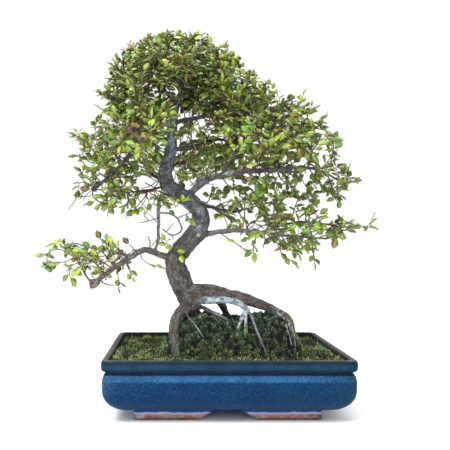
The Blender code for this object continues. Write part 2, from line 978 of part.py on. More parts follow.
def make_leaf(draw, twigs, joint, back, turn):
    """A leaf that leaves its twig at an angle, turned about it, with its upper side up and outwards."""
    up = np.array((0.0, 0.0, 1.0))
    along_twig = twigs.heading(joint)
    side = unit(np.cross(along_twig, up) + np.array((1e-4, 0.0, 0.0)))
    spread = turn * (LEAF_SPREAD + draw.uniform(-0.25, 0.25))
    heading = unit(along_twig * math.cos(spread) + side * math.sin(spread)
                   + up * draw.uniform(-0.35, 0.2))
    place = twigs.places[joint]
    outwards = unit(np.array((place[0] + 40.0, place[1], 0.0)))
    scatter = np.array([draw.uniform(-1.0, 1.0) for _ in range(3)])
    facing = unit(up + 0.55 * outwards + 0.45 * scatter)
    facing = unit(facing - heading * float(np.dot(facing, heading)))
    return Leaf(joint, back, heading, facing, draw.uniform(*LEAF_LENGTH))


def leaves_of(spray, joints, twigs):
    """Three leaves on each tip, and leaves to alternate sides along the thin twigs."""
    draw = random.Random(SEED * 1000 + spray)
    leaves = []
    for joint in joints[2:]:
        children = len(twigs.children[joint])
        if children == 0:
            for back, turn in TIP_LEAVES:
                leaves.append(make_leaf(draw, twigs, joint, back, turn))
        elif children == 1 and draw.random() < 0.85:
            leaves.append(make_leaf(draw, twigs, joint, 0.0, 1.0 if joint % 2 else -1.0))
    return leaves


# Solids of the sprays

def leaf_shape(leaf, place, clearance=0.0, start=LEAF_START):
    """A pointed oval blade, folded a little along its rib, with its root sunk into the twig."""
    length = leaf.length + clearance
    half_width = leaf.length * LEAF_WIDTH / 2 + clearance
    half_thickness = LEAF_THICKNESS / 2 + clearance
    side = np.cross(leaf.facing, leaf.heading)
    fold = leaf.length * LEAF_FOLD

    def point(share, across, height):
        droop = -0.10 * leaf.length * max(share, 0.0) ** 2
        return (place + leaf.heading * share * length + side * across * half_width
                + leaf.facing * (height + droop + fold * abs(across)))

    vertices = [
        point(start, 0.0, 0.0),
        point(0.34, -0.92, 0.0),
        point(0.70, -0.84, 0.0),
        point(1.0, 0.0, 0.0),
        point(0.70, 0.84, 0.0),
        point(0.34, 0.92, 0.0),
        point(0.5, 0.0, half_thickness),
        point(0.5, 0.0, -half_thickness),
    ]
    under = [((index + 1) % 6, index, 7) for index in range(6)]
    upper = [(0, 1, 5), (5, 1, 6)] + [(index, index + 1, 6) for index in range(1, 5)]
    return vertices, upper + under


def twig_tube(line, clearance=0.0):
    """Vertices and faces of a square tube round a centre line, to test what it would cross."""
    rings = []
    for index, (x, y, z, radius) in enumerate(line):
        here = np.array((x, y, z))
        ahead = np.array(line[min(index + 1, len(line) - 1)][:3])
        behind = np.array(line[max(index - 1, 0)][:3])
        way = unit(ahead - behind)
        side = unit(np.cross(way, np.array((0.31, 0.17, 0.93))))
        other = np.cross(way, side)
        reach = radius + clearance
        rings.append([tuple(here + (side * math.cos(a) + other * math.sin(a)) * reach)
                      for a in (0.0, math.pi / 2, math.pi, 3 * math.pi / 2)])
    return loft(rings)


def tree_of(vertices, faces):
    return BVHTree.FromPolygons([tuple(v) for v in vertices], faces)


def tree_of_object(made):
    """The surface of a finished object, in millimetres."""
    vertices = [tuple(vertex.co / MM) for vertex in made.data.vertices]
    return BVHTree.FromPolygons(vertices, [tuple(face.vertices) for face in made.data.polygons])


def crosses(tree, others):
    return any(tree.overlap(other) for other in others)


def seated(line, heading, wood, others):
    """The line with its start a narrow gap above the wood, or None where it would cross something."""
    first = np.array(line[0][:3])
    hit = wood.ray_cast(Vector(first + heading * FIRST_STEP), Vector(-heading))[0]
    for rise in SEAT_RISES:
        start = np.array(hit) + heading * (GAP + rise)
        moved = [(*start, line[0][3])] + line[1:]
        if not crosses(tree_of(*twig_tube(moved, CLEARANCE)), others):
            return moved
    return None


def new_joints(twigs, tip, kept):
    """The joint of the spray that a tip's twig leaves, and the joints from there to the tip."""
    path = [tip]
    while twigs.parents[path[-1]] not in kept:
        path.append(twigs.parents[path[-1]])
    return twigs.parents[path[-1]], path[::-1]


def thinned(path):
    """Every few joints of a path, counted back from its tip."""
    return path[::-1][::JOINTS_PER_LENGTH][::-1]


def twig_line(twigs, path, root_share):
    """A path of joints as a tapering centre line."""
    line = []
    for index, joint in enumerate(path):
        share = root_share * (1.0 - index / max(len(path) - 1, 1))
        radius = TWIG_TIP + (TWIG_BASE - TWIG_TIP) * share
        line.append((*twigs.places[joint], radius))
    return line


def spread_tips(twigs, joints):
    """The spray's tips, each next one the furthest from those before it."""
    root = twigs.places[joints[0]]
    tips = [joint for joint in joints[1:] if not twigs.children[joint]]
    order = []
    while tips:
        chosen = [twigs.places[tip] for tip in order] or [root]
        tips.sort(key=lambda tip: min(math.dist(twigs.places[tip], place) for place in chosen))
        order.append(tips.pop())
    return order


def make_spray(bud, joints, leaves, twigs, wood, others, collection, surface):
    """One twig with side twigs and leaves, fused into one solid that stays clear of the others."""
    parts = new_collection(bud.name + "_parts")
    tips_wanted = min(max(round(1.0 + len(joints) / JOINTS_PER_TIP), FEWEST_TIPS), MOST_TIPS)
    own_trees = []
    # The nearest joint down the twig that its tube passes through
    anchors = {joints[0]: joints[0]}
    # Where the tube's segment up to each of its joints starts
    below = {}
    body = None
    kept_tips = []
    for tip in spread_tips(twigs, joints):
        if len(kept_tips) == tips_wanted:
            break
        if tip in anchors:
            continue
        fork, path = new_joints(twigs, tip, anchors)
        route = [anchors[fork]] + thinned(path)
        line = twig_line(twigs, route, 1.0 if body is None else 0.3)
        if body is None:
            line = seated(line, bud.heading, wood, others)
            if line is None:
                continue
            made = tube(bud.name, line, collection, TWIG_SIDES)
        elif crosses(tree_of(*twig_tube(line, CLEARANCE)), others):
            continue
        else:
            made = tube("side_twig", line, parts, TWIG_SIDES)
        body = body or made
        own_trees.append(tree_of(*twig_tube(line)))
        for start, joint in zip(route, route[1:]):
            below[joint] = twigs.places[start]
        nearest = route[0]
        for joint in path:
            nearest = joint if joint in route else nearest
            anchors[joint] = nearest
        kept_tips.append(tip)
    if body is None:
        bpy.data.collections.remove(parts)
        return None
    rank = {tip: index for index, tip in enumerate(kept_tips)}
    wanted = [leaf for leaf in leaves if leaf.joint in below]
    wanted.sort(key=lambda leaf: (leaf.joint not in rank, leaf.back, rank.get(leaf.joint, leaf.joint)))
    turns = [0.0, 0.5, -0.5, 1.0, -1.0]
    placed = 0
    for leaf in wanted:
        if placed >= LEAVES_PER_TIP * len(kept_tips):
            break
        way = unit(twigs.places[leaf.joint] - below[leaf.joint])
        place = twigs.places[leaf.joint] - way * leaf.back
        for turn in turns:
            turned = Matrix.Rotation(turn, 3, Vector(way))
            trial = Leaf(leaf.joint, leaf.back, np.array(turned @ Vector(leaf.heading)),
                         np.array(turned @ Vector(leaf.facing)), leaf.length)
            reach = tree_of(*leaf_shape(trial, place, CLEARANCE))
            free_part = tree_of(*leaf_shape(trial, place, start=0.25))
            if crosses(reach, others) or crosses(free_part, own_trees):
                continue
            shape = leaf_shape(trial, place)
            mesh_object("leaf", *shape, parts)
            own_trees.append(tree_of(*shape))
            placed += 1
            break
    combine(body, parts, "UNION")
    keep_largest_body(body)
    finish(body, surface, smooth_angle=20)
    return body


def make_sprays(collection, wood, others):
    buds = make_buds()
    twigs = grow(buds)
    sets = joint_sets(twigs, len(buds))
    greens = (
        material("leaf_green", (0.13, 0.27, 0.04), 0.5),
        material("leaf_yellow_green", (0.26, 0.40, 0.06), 0.5),
        material("leaf_dark_green", (0.07, 0.17, 0.03), 0.5),
    )
    made = []
    for spray, bud in enumerate(buds):
        joints = sets[spray]
        if len(joints) < LEAST_JOINTS:
            continue
        leaves = leaves_of(spray, joints, twigs)
        body = make_spray(bud, joints, leaves, twigs, wood, others, collection, greens[spray % 3])
        if body is None:
            continue
        others.append(tree_of_object(body))
        made.append(body)
    return made


def centre_on_origin(objects, collection):
    """Parents every piece to one point, and moves it so that the object's box is centred on Z."""
    handle = bpy.data.objects.new("chinese_elm_bonsai", None)
    collection.objects.link(handle)
    for made in objects:
        made.parent = handle
    bpy.context.view_layer.update()
    corners = np.array([made.matrix_world @ vertex.co for made in objects for vertex in made.data.vertices])
    middle = (corners.min(axis=0) + corners.max(axis=0)) / 2
    handle.location = (-middle[0], -middle[1], 0.0)
    bpy.context.view_layer.update()


def main():
    for existing in list(bpy.data.objects):
        bpy.data.objects.remove(existing)
    tree = new_collection("bonsai")
    pot = make_pot(tree)
    screens = [make_screen("drain_screen_left", -1, tree), make_screen("drain_screen_right", 1, tree)]
    roots, _, _ = wood_lines()
    soil = make_soil(tree, roots)
    trunk = make_trunk(tree)
    wood = tree_of_object(trunk)
    others = [tree_of_object(pot), tree_of_object(soil), wood]
    sprays = make_sprays(tree, wood, others)
    bpy.data.objects.remove(bpy.data.objects["three_sided_profile"])
    centre_on_origin([pot, soil, trunk] + screens + sprays, tree)


main()
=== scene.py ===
"""Chinese elm bonsai in a blue glazed pot: the finished look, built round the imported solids.

The lists are in millimetres, from the middle of the pot: X to the right, Y to the back, Z up from the
surface that the feet stand on. The trunk, the boughs and the growth of the twigs repeat the solids'
own lines and rules, so that every spray grows where its solid stands.
"""

import json
import math
import random

import bmesh
import bpy
import numpy as np
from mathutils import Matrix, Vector, kdtree, noise

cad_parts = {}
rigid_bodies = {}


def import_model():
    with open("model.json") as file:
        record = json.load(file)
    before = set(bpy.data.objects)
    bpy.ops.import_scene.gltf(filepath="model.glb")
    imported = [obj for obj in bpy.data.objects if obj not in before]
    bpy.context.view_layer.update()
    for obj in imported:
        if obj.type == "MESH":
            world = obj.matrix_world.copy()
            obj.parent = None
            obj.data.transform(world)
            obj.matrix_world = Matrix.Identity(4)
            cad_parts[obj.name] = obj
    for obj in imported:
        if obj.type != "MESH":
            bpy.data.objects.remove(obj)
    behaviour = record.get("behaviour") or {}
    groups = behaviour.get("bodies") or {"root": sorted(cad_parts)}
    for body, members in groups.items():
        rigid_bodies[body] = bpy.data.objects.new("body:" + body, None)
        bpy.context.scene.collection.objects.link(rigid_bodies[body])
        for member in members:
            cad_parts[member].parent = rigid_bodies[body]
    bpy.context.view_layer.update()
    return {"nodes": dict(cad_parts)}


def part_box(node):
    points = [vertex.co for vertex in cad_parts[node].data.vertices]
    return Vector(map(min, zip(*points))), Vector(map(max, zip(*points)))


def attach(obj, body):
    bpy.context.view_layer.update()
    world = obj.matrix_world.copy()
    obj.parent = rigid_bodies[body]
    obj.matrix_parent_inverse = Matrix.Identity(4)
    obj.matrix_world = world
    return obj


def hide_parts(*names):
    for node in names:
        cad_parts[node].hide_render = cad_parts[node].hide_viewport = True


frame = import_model()
NODES = frame["nodes"]

MM = 0.001
POT_LOW, POT_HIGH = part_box("pot")
MIDDLE = Vector(((POT_LOW.x + POT_HIGH.x) / 2, (POT_LOW.y + POT_HIGH.y) / 2, 0.0))

# Pot
RIM_LENGTH = 303.0
RIM_WIDTH = 210.0
FOOT_HEIGHT = 10.5
FLOOR_TOP = 18.5
RIM_CORNER = 6.0
BELLY_TOP = 40.5
BELLY_INSET = 0.8
BELLY_REACH = 33.0
BOWL_TOP = 45.0
BOWL_INSET = 9.3
BOWL_REACH = 28.7
DRAIN_HOLE = 16.0
DRAIN_X = 58.0

# Height and inset from the rim's outline, up the outside from the belly and over the rim
RIM_PROFILE = (
    (44.0, 0.65), (48.0, 0.65), (51.0, 0.9), (54.5, 1.5), (57.5, 2.5), (59.2, 3.6), (60.4, 4.3),
    (61.4, 4.2), (62.2, 3.4), (62.9, 1.9), (63.8, 0.8), (65.2, 0.2), (67.5, 0.0), (71.0, 0.0),
    (73.4, 0.25), (74.8, 0.9), (75.7, 1.9), (76.0, 3.2), (76.0, 6.0), (75.6, 7.4), (74.4, 8.3),
    (72.0, 8.7), (69.0, 8.9),
)

# Feet: an L in each corner, its inner ends slanted
FOOT_OUTER_X = 113.5
FOOT_INNER_X = 35.5
FOOT_OUTER_Y = 81.0
FOOT_INNER_Y = 34.0
FOOT_LEG = 22.0
FOOT_SLANT = 21.0
FOOT_SUNK = 3.0

# Soil
GAP = 0.3
BED_HEIGHT = 70.0
MOUND_HEIGHT = 45.0
MOUND_LEFT = (-95.0, -40.0)
MOUND_RIGHT = (84.0, 108.0)
MOUND_FRONT = (-62.0, -16.0)
MOUND_BACK = (25.0, 70.0)

SOIL_CELLS = (190, 128)

# Heights between which the bed's cover turns into the mound's
MOUND_FOOT = (74.0, 84.0)

# Moss and grit: width of a cell of spikes, distance from the rim's outline, number of crumbs
MOSS_SPACING = 1.9
MOSS_MARGIN = 10.5
GRIT_MARGIN = 12.0
GRIT_COUNT = 1300

# Trunk: centre line with radius
TRUNK = (
    (-43, -2, 122, 13.0), (-45, 0, 136, 14.5), (-52, 3, 150, 15.0), (-57, 4, 163, 15.0),
    (-63, 4, 177, 14.2), (-64, 2, 191, 13.6), (-56, 0, 204, 13.0), (-44, -4, 218, 12.5),
    (-34, -7, 231, 12.3), (-30, -8, 245, 12.0), (-33, -6, 258, 11.8), (-44, -2, 270, 11.4),
    (-60, 2, 280, 11.0), (-73, 5, 291, 10.6), (-78, 7, 306, 9.8), (-75, 7, 324, 8.8),
    (-70, 5, 341, 7.8), (-69, 3, 361, 7.0), (-67, 1, 378, 6.2), (-65, 0, 394, 5.6),
    (-60, 0, 410, 4.8),
)

# Roots: radius at the trunk, radius at the tip, centre line
ROOTS = {
    "left": (9.5, 4.4, (
        (-47, 0, 132), (-51, -5, 125), (-59, -12, 117), (-64, -20, 108), (-66, -30, 97),
        (-64, -39, 86), (-63, -46, 76), (-62, -52, 62),
    )),
    "right": (10.5, 3.6, (
        (-48, 0, 146), (-35, -3, 149), (-17, -6, 149), (-4, -8, 146), (9, -10, 143), (22, -12, 141),
        (35, -13, 137), (49, -14, 132), (62, -16, 127), (74, -19, 121), (83, -23, 115),
        (87, -29, 104), (87, -36, 88),
    )),
    "right_drop": (2.6, 1.6, (
        (84, -25, 110), (88, -36, 99), (89, -43, 86), (88, -51, 76), (87, -55, 62),
    )),
    "right_drop_left": (2.4, 1.5, (
        (78, -22, 117), (79, -31, 107), (77, -36, 96), (78, -41, 82),
    )),
    "pale": (5.5, 4.0, (
        (-42, -8, 136), (-25, -14, 135), (-11, -17, 137), (3, -19, 137), (15, -20, 136),
        (25, -21, 132), (33, -23, 125),
    )),
    "pale_front": (3.2, 1.7, (
        (29, -21, 130), (34, -26, 118), (38, -32, 109), (42, -38, 99), (46, -44, 89), (49, -50, 79),
        (51, -55, 64),
    )),
    "pale_left": (2.8, 1.5, (
        (29, -21, 130), (24, -25, 118), (20, -29, 109), (16, -33, 99), (15, -35, 90),
    )),
    "pale_middle": (2.6, 1.4, (
        (28, -21, 130), (28, -27, 117), (27, -32, 106), (26, -35, 91),
    )),
    "thin_front": (2.2, 1.4, (
        (-50, -10, 127), (-45, -20, 116), (-38, -26, 109), (-32, -33, 100), (-26, -39, 91),
        (-24, -42, 80),
    )),
    "back": (6.5, 3.5, (
        (-16, 2, 142), (-4, 13, 134), (4, 24, 122), (11, 34, 104), (14, 38, 90),
    )),
    "low": (4.5, 2.2, (
        (-42, 0, 132), (-27, -6, 128), (-14, -9, 121), (-3, -11, 115), (8, -13, 107),
    )),
    "back_left": (6.5, 2.5, (
        (-46, 2, 132), (-57, 14, 120), (-65, 26, 106), (-70, 36, 88), (-72, 40, 76),
    )),
    "core": (11.0, 7.0, (
        (-44, 0, 132), (-41, 4, 119), (-38, 8, 102),
    )),
}

# Boughs: radius at the trunk, radius at the tip, where the first spray leaves it, number of sprays,
# whether the last spray grows on from the tip, centre line
BOUGHS = {
    "upper_right": (4.8, 1.3, 0.30, 5, True, (
        (-44, -2, 281), (-24, -8, 297), (-2, -14, 304), (21, -20, 307), (47, -24, 308),
        (73, -25, 310), (100, -23, 313), (125, -18, 310), (146, -14, 301),
    )),
    "upper_right_fork": (2.8, 1.2, 0.55, 2, True, (
        (-2, -14, 304), (10, -24, 322), (23, -36, 338), (38, -48, 346),
    )),
    "second_right": (3.2, 1.4, 0.60, 2, True, (
        (-29, -4, 268), (-17, 6, 264), (-6, 16, 261), (6, 26, 259), (18, 38, 258), (34, 52, 262),
    )),
    "lower_right": (3.6, 1.3, 0.40, 5, True, (
        (-34, -6, 218), (-18, -9, 226), (-4, -13, 229), (19, -18, 230), (47, -22, 228),
        (74, -22, 224), (101, -20, 222), (131, -16, 220),
    )),
    "lower_right_upper": (1.9, 1.1, 0.60, 2, True, (
        (50, -22, 228), (74, -10, 236), (104, 2, 242), (136, 8, 240),
    )),
    "lower_left": (4.6, 2.7, 0.55, 4, False, (
        (-66, 2, 188), (-84, -4, 198), (-98, -9, 203), (-108, -12, 203), (-124, -18, 195),
        (-143, -24, 182), (-160, -29, 169), (-173, -33, 157),
    )),
    "middle_left": (4.3, 1.4, 0.50, 4, True, (
        (-70, 4, 366), (-91, -8, 357), (-107, -15, 346), (-124, -20, 330), (-137, -22, 315),
        (-148, -22, 304), (-163, -20, 292),
    )),
    "left_twig": (2.0, 1.2, 0.85, 1, True, (
        (-76, 6, 300), (-99, 15, 307), (-123, 24, 314), (-140, 32, 316),
    )),
    "low_twig": (1.9, 1.1, 0.90, 1, True, (
        (-74, 5, 292), (-92, -8, 286), (-108, -18, 283), (-130, -28, 280),
    )),
    "front_left": (2.8, 1.2, 0.55, 2, True, (
        (-107, -15, 346), (-106, -34, 352), (-112, -56, 356), (-118, -74, 354),
    )),
    "back_left": (3.2, 1.3, 0.50, 2, True, (
        (-70, 5, 352), (-84, 24, 362), (-102, 48, 368), (-118, 70, 366),
    )),
    "back": (3.6, 1.3, 0.50, 3, True, (
        (-74, 6, 312), (-66, 30, 324), (-50, 56, 332), (-30, 80, 334),
    )),
    "middle_right": (3.2, 1.3, 0.40, 4, True, (
        (-71, 5, 342), (-51, 12, 344), (-31, 20, 350), (-8, 28, 360), (26, 38, 357), (58, 46, 354),
    )),
    "crown_right": (3.2, 1.2, 0.45, 4, True, (
        (-66, 1, 377), (-44, -12, 378), (-16, -24, 381), (13, -32, 382), (45, -34, 384),
    )),
    "apex_left": (3.4, 1.2, 0.40, 2, True, (
        (-62, 0, 404), (-78, 7, 421), (-96, 12, 434), (-112, 14, 440),
    )),
    "apex_up": (3.6, 1.2, 0.50, 3, True, (
        (-61, 0, 406), (-53, -6, 430), (-50, -8, 450), (-50, -4, 466),
    )),
    "apex_right": (3.2, 1.2, 0.50, 3, True, (
        (-62, 0, 402), (-34, 8, 416), (-8, 15, 428), (14, 18, 436),
    )),
    "apex_back": (2.6, 1.2, 0.90, 1, True, (
        (-60, 1, 408), (-58, 22, 422), (-56, 46, 432),
    )),
    "apex_front": (2.4, 1.2, 0.90, 1, True, (
        (-55, -5, 424), (-60, -24, 434), (-64, -44, 438),
    )),
}

# Thin roots as they are seen, slimmer than in the solids: radius at each end, centre line
SLIM_ROOTS = {
    "right_drop": (1.3, 0.7, (
        (86, -30, 108), (88, -37, 99), (89, -43, 89), (88, -50, 78),
    )),
    "right_drop_left": (1.2, 0.6, (
        (80, -28, 108), (81, -35, 101), (83, -41, 92), (84, -46, 83),
    )),
    "pale": (5.2, 3.6, (
        (-42, -8, 136), (-25, -15, 137), (-11, -18, 138), (3, -20, 138), (15, -21, 136),
        (25, -22, 131), (32, -23, 124),
    )),
    "pale_front": (2.2, 1.2, (
        (29, -21, 129), (35, -27, 119), (38, -33, 110), (41, -39, 101), (44, -44, 92),
        (49, -49, 80), (51, -53, 72),
    )),
    "thin_front": (1.5, 1.0, (
        (-52, -9, 129), (-50, -19, 122), (-46, -30, 116), (-40, -37, 110), (-34, -41, 102),
        (-28, -41, 93),
    )),
    "low": (3.4, 1.7, (
        (-42, 0, 130), (-27, -8, 127), (-14, -12, 121), (-3, -15, 116), (8, -18, 110),
    )),
}

# Swellings of the wood, where the pale root leaves it and at the ends of two boughs: name, radius at
# each end, centre line
SWELLINGS = (
    ("root_flare", 7.0, 3.0, ((-38, -6, 141), (-22, -10, 141), (-8, -13, 140))),
    ("bough_end", 3.6, 4.4, ((-163, -30, 166), (-170, -32, 160), (-175, -33, 158))),
    ("bough_end", 2.4, 1.4, ((-168, -32, 163), (-172, -33, 166), (-176, -34, 165))),
    ("dark_bough_end", 1.8, 2.6, (
        (-137, -22, 315), (-148, -22, 304), (-160, -21, 294), (-168, -20, 288), (-174, -20, 284),
    )),
)

# Thin bare side twigs of the dead branch and between the boughs: radius at each end, centre line
BARE_TWIGS = (
    (1.3, 0.9, ((-86, -11, 254), (-80, -13, 254), (-70, -16, 252), (-61, -20, 246), (-56, -21, 236),
                (-57, -22, 229), (-67, -22, 224), (-74, -21, 226), (-81, -19, 232))),
    (0.9, 0.5, ((-61, -20, 246), (-54, -21, 250), (-46, -22, 253), (-39, -23, 256))),
    (0.8, 0.5, ((-76, -21, 228), (-72, -22, 233), (-70, -22, 236), (-66, -22, 240))),
    (0.9, 0.5, ((-74, -21, 226), (-69, -22, 224), (-67, -22, 218))),
    (0.8, 0.4, ((-86, -11, 262), (-78, -14, 264), (-70, -16, 263))),
    (0.8, 0.4, ((-87, -12, 240), (-93, -16, 246), (-98, -18, 252))),
    (0.8, 0.4, ((-86, -11, 222), (-92, -14, 214), (-97, -16, 207))),
    (0.8, 0.4, ((-86, -11, 224), (-80, -13, 214), (-77, -14, 206))),
    (0.8, 0.4, ((-86, -12, 248), (-99, -18, 243), (-112, -24, 240))),
    (0.7, 0.4, ((-99, -18, 243), (-105, -22, 250), (-104, -26, 258))),
    (0.8, 0.4, ((-172, -20, 285), (-180, -22, 278), (-186, -22, 268))),
    (0.8, 0.4, ((-166, -20, 290), (-176, -24, 290), (-186, -28, 286))),
    (0.8, 0.4, ((-156, -21, 297), (-160, -26, 288), (-158, -28, 280))),
    (0.8, 0.4, ((-148, -22, 304), (-150, -27, 294), (-146, -30, 286), (-138, -32, 284))),
    (0.9, 0.5, ((-75, -4, 300), (-88, -16, 296), (-98, -24, 301), (-104, -30, 312))),
    (0.9, 0.5, ((-88, -16, 296), (-98, -22, 288), (-110, -26, 285))),
    (0.8, 0.4, ((-78, -4, 310), (-92, -14, 316), (-106, -22, 313), (-118, -28, 318))),
    (0.9, 0.5, ((-30, -12, 268), (-14, -22, 262), (0, -28, 262), (8, -32, 270))),
    (0.8, 0.4, ((-8, -25, 262), (0, -32, 252), (10, -36, 247))),
    (0.9, 0.5, ((-44, -10, 290), (-30, -20, 300), (-20, -26, 312), (-16, -28, 326))),
    (0.8, 0.4, ((-30, -20, 300), (-22, -24, 292), (-10, -30, 290))),
)

# Short leafy shoots that hang or stand alone: the spray that they go with, their tint, centre line
LONE_SHOOTS = (
    ("spray_low_twig_1", 0.86, ((-62, -12, 262), (-60, -17, 266), (-56, -20, 269))),
    ("spray_low_twig_1", 0.84, ((-64, -11, 262), (-65, -17, 265), (-66, -21, 268))),
    ("spray_low_twig_1", 0.62, ((-50, -22, 251), (-48, -24, 249), (-46, -25, 247))),
    ("spray_lower_left_1", 0.72, ((-70, -11, 207), (-74, -16, 211), (-76, -18, 216))),
    ("spray_lower_left_1", 0.74, ((-70, -11, 207), (-68, -17, 207), (-63, -20, 203), (-58, -22, 197))),
    ("spray_lower_right_1", 0.80, (
        (-6, -18, 228), (6, -22, 219), (16, -24, 213), (24, -25, 207), (33, -26, 203),
    )),
    ("spray_lower_right_2", 0.50, (
        (72, -24, 222), (73, -28, 211), (73, -30, 202), (79, -31, 195), (86, -32, 191),
    )),
    ("spray_middle_left_4", 0.55, (
        (-168, -24, 296), (-178, -28, 286), (-190, -30, 275), (-199, -31, 262),
    )),
    ("spray_low_twig_1", 0.72, ((-104, -22, 284), (-112, -26, 276), (-118, -28, 265), (-124, -30, 255))),
    ("spray_low_twig_1", 0.76, ((-100, -20, 284), (-102, -26, 272), (-108, -30, 262), (-116, -32, 256))),
    ("spray_low_twig_1", 0.74, ((-94, -14, 286), (-90, -24, 276), (-92, -28, 266), (-99, -30, 258))),
    ("spray_lower_left_2", 0.70, (
        (-112, -14, 202), (-108, -22, 193), (-100, -27, 187), (-90, -30, 184),
    )),
    ("spray_upper_right_2", 0.52, ((36, -24, 304), (40, -30, 292), (46, -34, 280), (48, -36, 268))),
    ("spray_upper_right_3", 0.50, ((62, -26, 306), (66, -32, 294), (70, -36, 281), (72, -38, 268))),
    ("spray_upper_right_3", 0.48, ((74, -26, 306), (82, -32, 296), (88, -36, 284))),
    ("spray_upper_right_4", 0.46, ((96, -24, 310), (100, -30, 298), (104, -34, 288), (112, -36, 278))),
    ("spray_second_right_1", 0.50, ((-8, 14, 260), (2, 4, 254), (10, -4, 250), (12, -8, 240))),
)

# The highest twigs stop at this rounded top: the height where it begins, its centre and half sizes
TRIMMED_ABOVE = 425.0
TRIMMED = ((-56, 8, 438), (98, 86, 53))

# Bare wood that carries no leaves: radius at each end, centre line
BARE_WOOD = {
    "sawn_stub": (4.6, 4.2, (
        (-68, 1, 372), (-77, -6, 375), (-83, -12, 376),
    )),
    "dead_branch": (2.4, 1.6, (
        (-75, 4, 285), (-84, -8, 273), (-87, -11, 258), (-86, -12, 244), (-87, -12, 231),
        (-87, -11, 218), (-91, -10, 205),
    )),
    "dead_curl": (1.3, 1.0, (
        (-86, -11, 256), (-71, -16, 251), (-60, -20, 238), (-62, -22, 229), (-75, -22, 227),
    )),
}

# Foliage pads: centre, half sizes, number of points that twigs reach for
PADS = (
    ((-60, -2, 446), (84, 78, 50), 300),
    ((-110, 0, 410), (46, 66, 46), 130),
    ((-150, -4, 338), (54, 72, 44), 170),
    ((-112, -66, 354), (44, 44, 32), 60),
    ((-112, 66, 364), (48, 46, 34), 70),
    ((-160, -6, 296), (42, 52, 26), 60),
    ((20, 0, 402), (54, 70, 40), 170),
    ((68, -6, 370), (56, 66, 38), 120),
    ((104, -14, 328), (60, 70, 42), 180),
    ((148, -12, 300), (26, 40, 24), 40),
    ((30, -60, 342), (54, 44, 34), 80),
    ((40, 62, 350), (64, 46, 36), 100),
    ((-38, 86, 338), (62, 42, 38), 90),
    ((62, -16, 280), (84, 52, 25), 110),
    ((34, 50, 266), (46, 40, 22), 40),
    ((92, -14, 231), (76, 50, 25), 150),
    ((168, -4, 233), (34, 28, 13), 24),
    ((-178, -22, 196), (56, 46, 28), 100),
    ((-132, -12, 184), (28, 30, 20), 16),
    ((-138, -10, 270), (42, 46, 16), 44),
)

# Leafy shoots that hang from a bough: bough, from and to which share of its length, number
HANGING = (
    ("upper_right", 0.56, 1.0, 7),
    ("lower_right", 0.45, 1.0, 4),
    ("middle_left", 0.5, 1.0, 3),
    ("left_twig", 0.3, 1.0, 2),
    ("low_twig", 0.2, 1.0, 4),
    ("crown_right", 0.0, 0.6, 8),
    ("middle_right", 0.0, 0.5, 6),
)

# Crooked twigs along the boughs with a leaf at most on their tips: bough, from and to which share of
# its length, number
CROOKED = (
    ("upper_right", 0.05, 0.45, 9),
    ("middle_left", 0.1, 0.6, 8),
    ("left_twig", 0.1, 0.9, 8),
    ("low_twig", 0.1, 0.9, 7),
    ("middle_right", 0.05, 0.4, 5),
    ("crown_right", 0.05, 0.4, 4),
    ("second_right", 0.1, 0.6, 5),
    ("lower_left", 0.3, 0.9, 7),
    ("lower_right", 0.3, 0.8, 6),
    ("apex_left", 0.1, 0.9, 16),
    ("apex_front", 0.2, 1.0, 8),
)

# Boughs that the grower keeps in sight from the front, from and to which share of their length
IN_SIGHT = (
    ("upper_right", 0.0, 0.62),
    ("lower_right", 0.0, 0.36),
    ("lower_left", 0.0, 0.9),
    ("middle_left", 0.72, 1.0),
)

# Where the photograph was taken from
VIEWER = np.array((-60.5, -735.0, 215.0))

# Middle and reach of the hollow at the front of the crown, where dark bare twigs show
CROWN_HOLLOW = (-90, -34, 426)
HOLLOW_REACH = 42.0

# Clear space round the bare middle of the trunk: centre, half sizes
CLEARINGS = (
    ((-58, -10, 350), (38, 60, 44)),
    ((-60, -10, 262), (52, 60, 40)),
)

# Growth
SEED = 27
STEP = 8.0
FIRST_STEP = 6.0
REACHED = 7.0
SIGHT = 62.0
STRAIGHTNESS = 0.7
LIFT = 0.10
ROUNDS = 60
WOOD_CLEARANCE = 3.0
MOST_CHILDREN = 3

# Leaves
LEAF_LENGTH = (11.5, 15.0)
LEAF_WIDTH = 0.60
LEAF_SPREAD = math.radians(52)
TIP_LEAVES = ((0.3, 0.15), (2.6, -1.0), (4.9, 1.0))
LEAF_STATIONS = (-0.14, 0.0, 0.13, 0.36, 0.62, 0.85, 1.0)

# Fine twigs: radius at a tip, most at a bud, how fast the radius grows where twigs meet, how much
# their bark adds; shoots: length, distance apart on a bough
TWIG_TIP = 0.42
TWIG_MOST = 1.35
TWIG_POWER = 2.4
TWIG_SWELL = 1.25
SHOOT_LENGTH = (8.0, 19.0)
BOUGH_SHOOT_SPACING = 9.0
BOUGH_SHOOT_LENGTH = (14.0, 36.0)

UP = np.array((0.0, 0.0, 1.0))
FULL_TURN = 6.28


# Sums that several pieces share

def unit(vector):
    length = float(np.linalg.norm(vector))
    return vector / length if length > 1e-9 else np.array((0.0, 0.0, 1.0))


def smooth_step(low, high, value):
    t = min(max((value - low) / (high - low), 0.0), 1.0)
    return t * t * (3.0 - 2.0 * t)


def between(low, high, share):
    return low + (high - low) * share


def side_of(way):
    """A level direction across another."""
    return unit(np.cross(way, UP) + np.array((1e-4, 0.0, 0.0)))


def scatter(draw, reach=1.0):
    """A random vector with each part within a reach."""
    return np.array([draw.uniform(-reach, reach) for _ in range(3)])


def to_scene(points):
    """Points in millimetres from the pot's middle, as places in the scene in metres."""
    return np.asarray(points, float) * MM + np.array(MIDDLE)


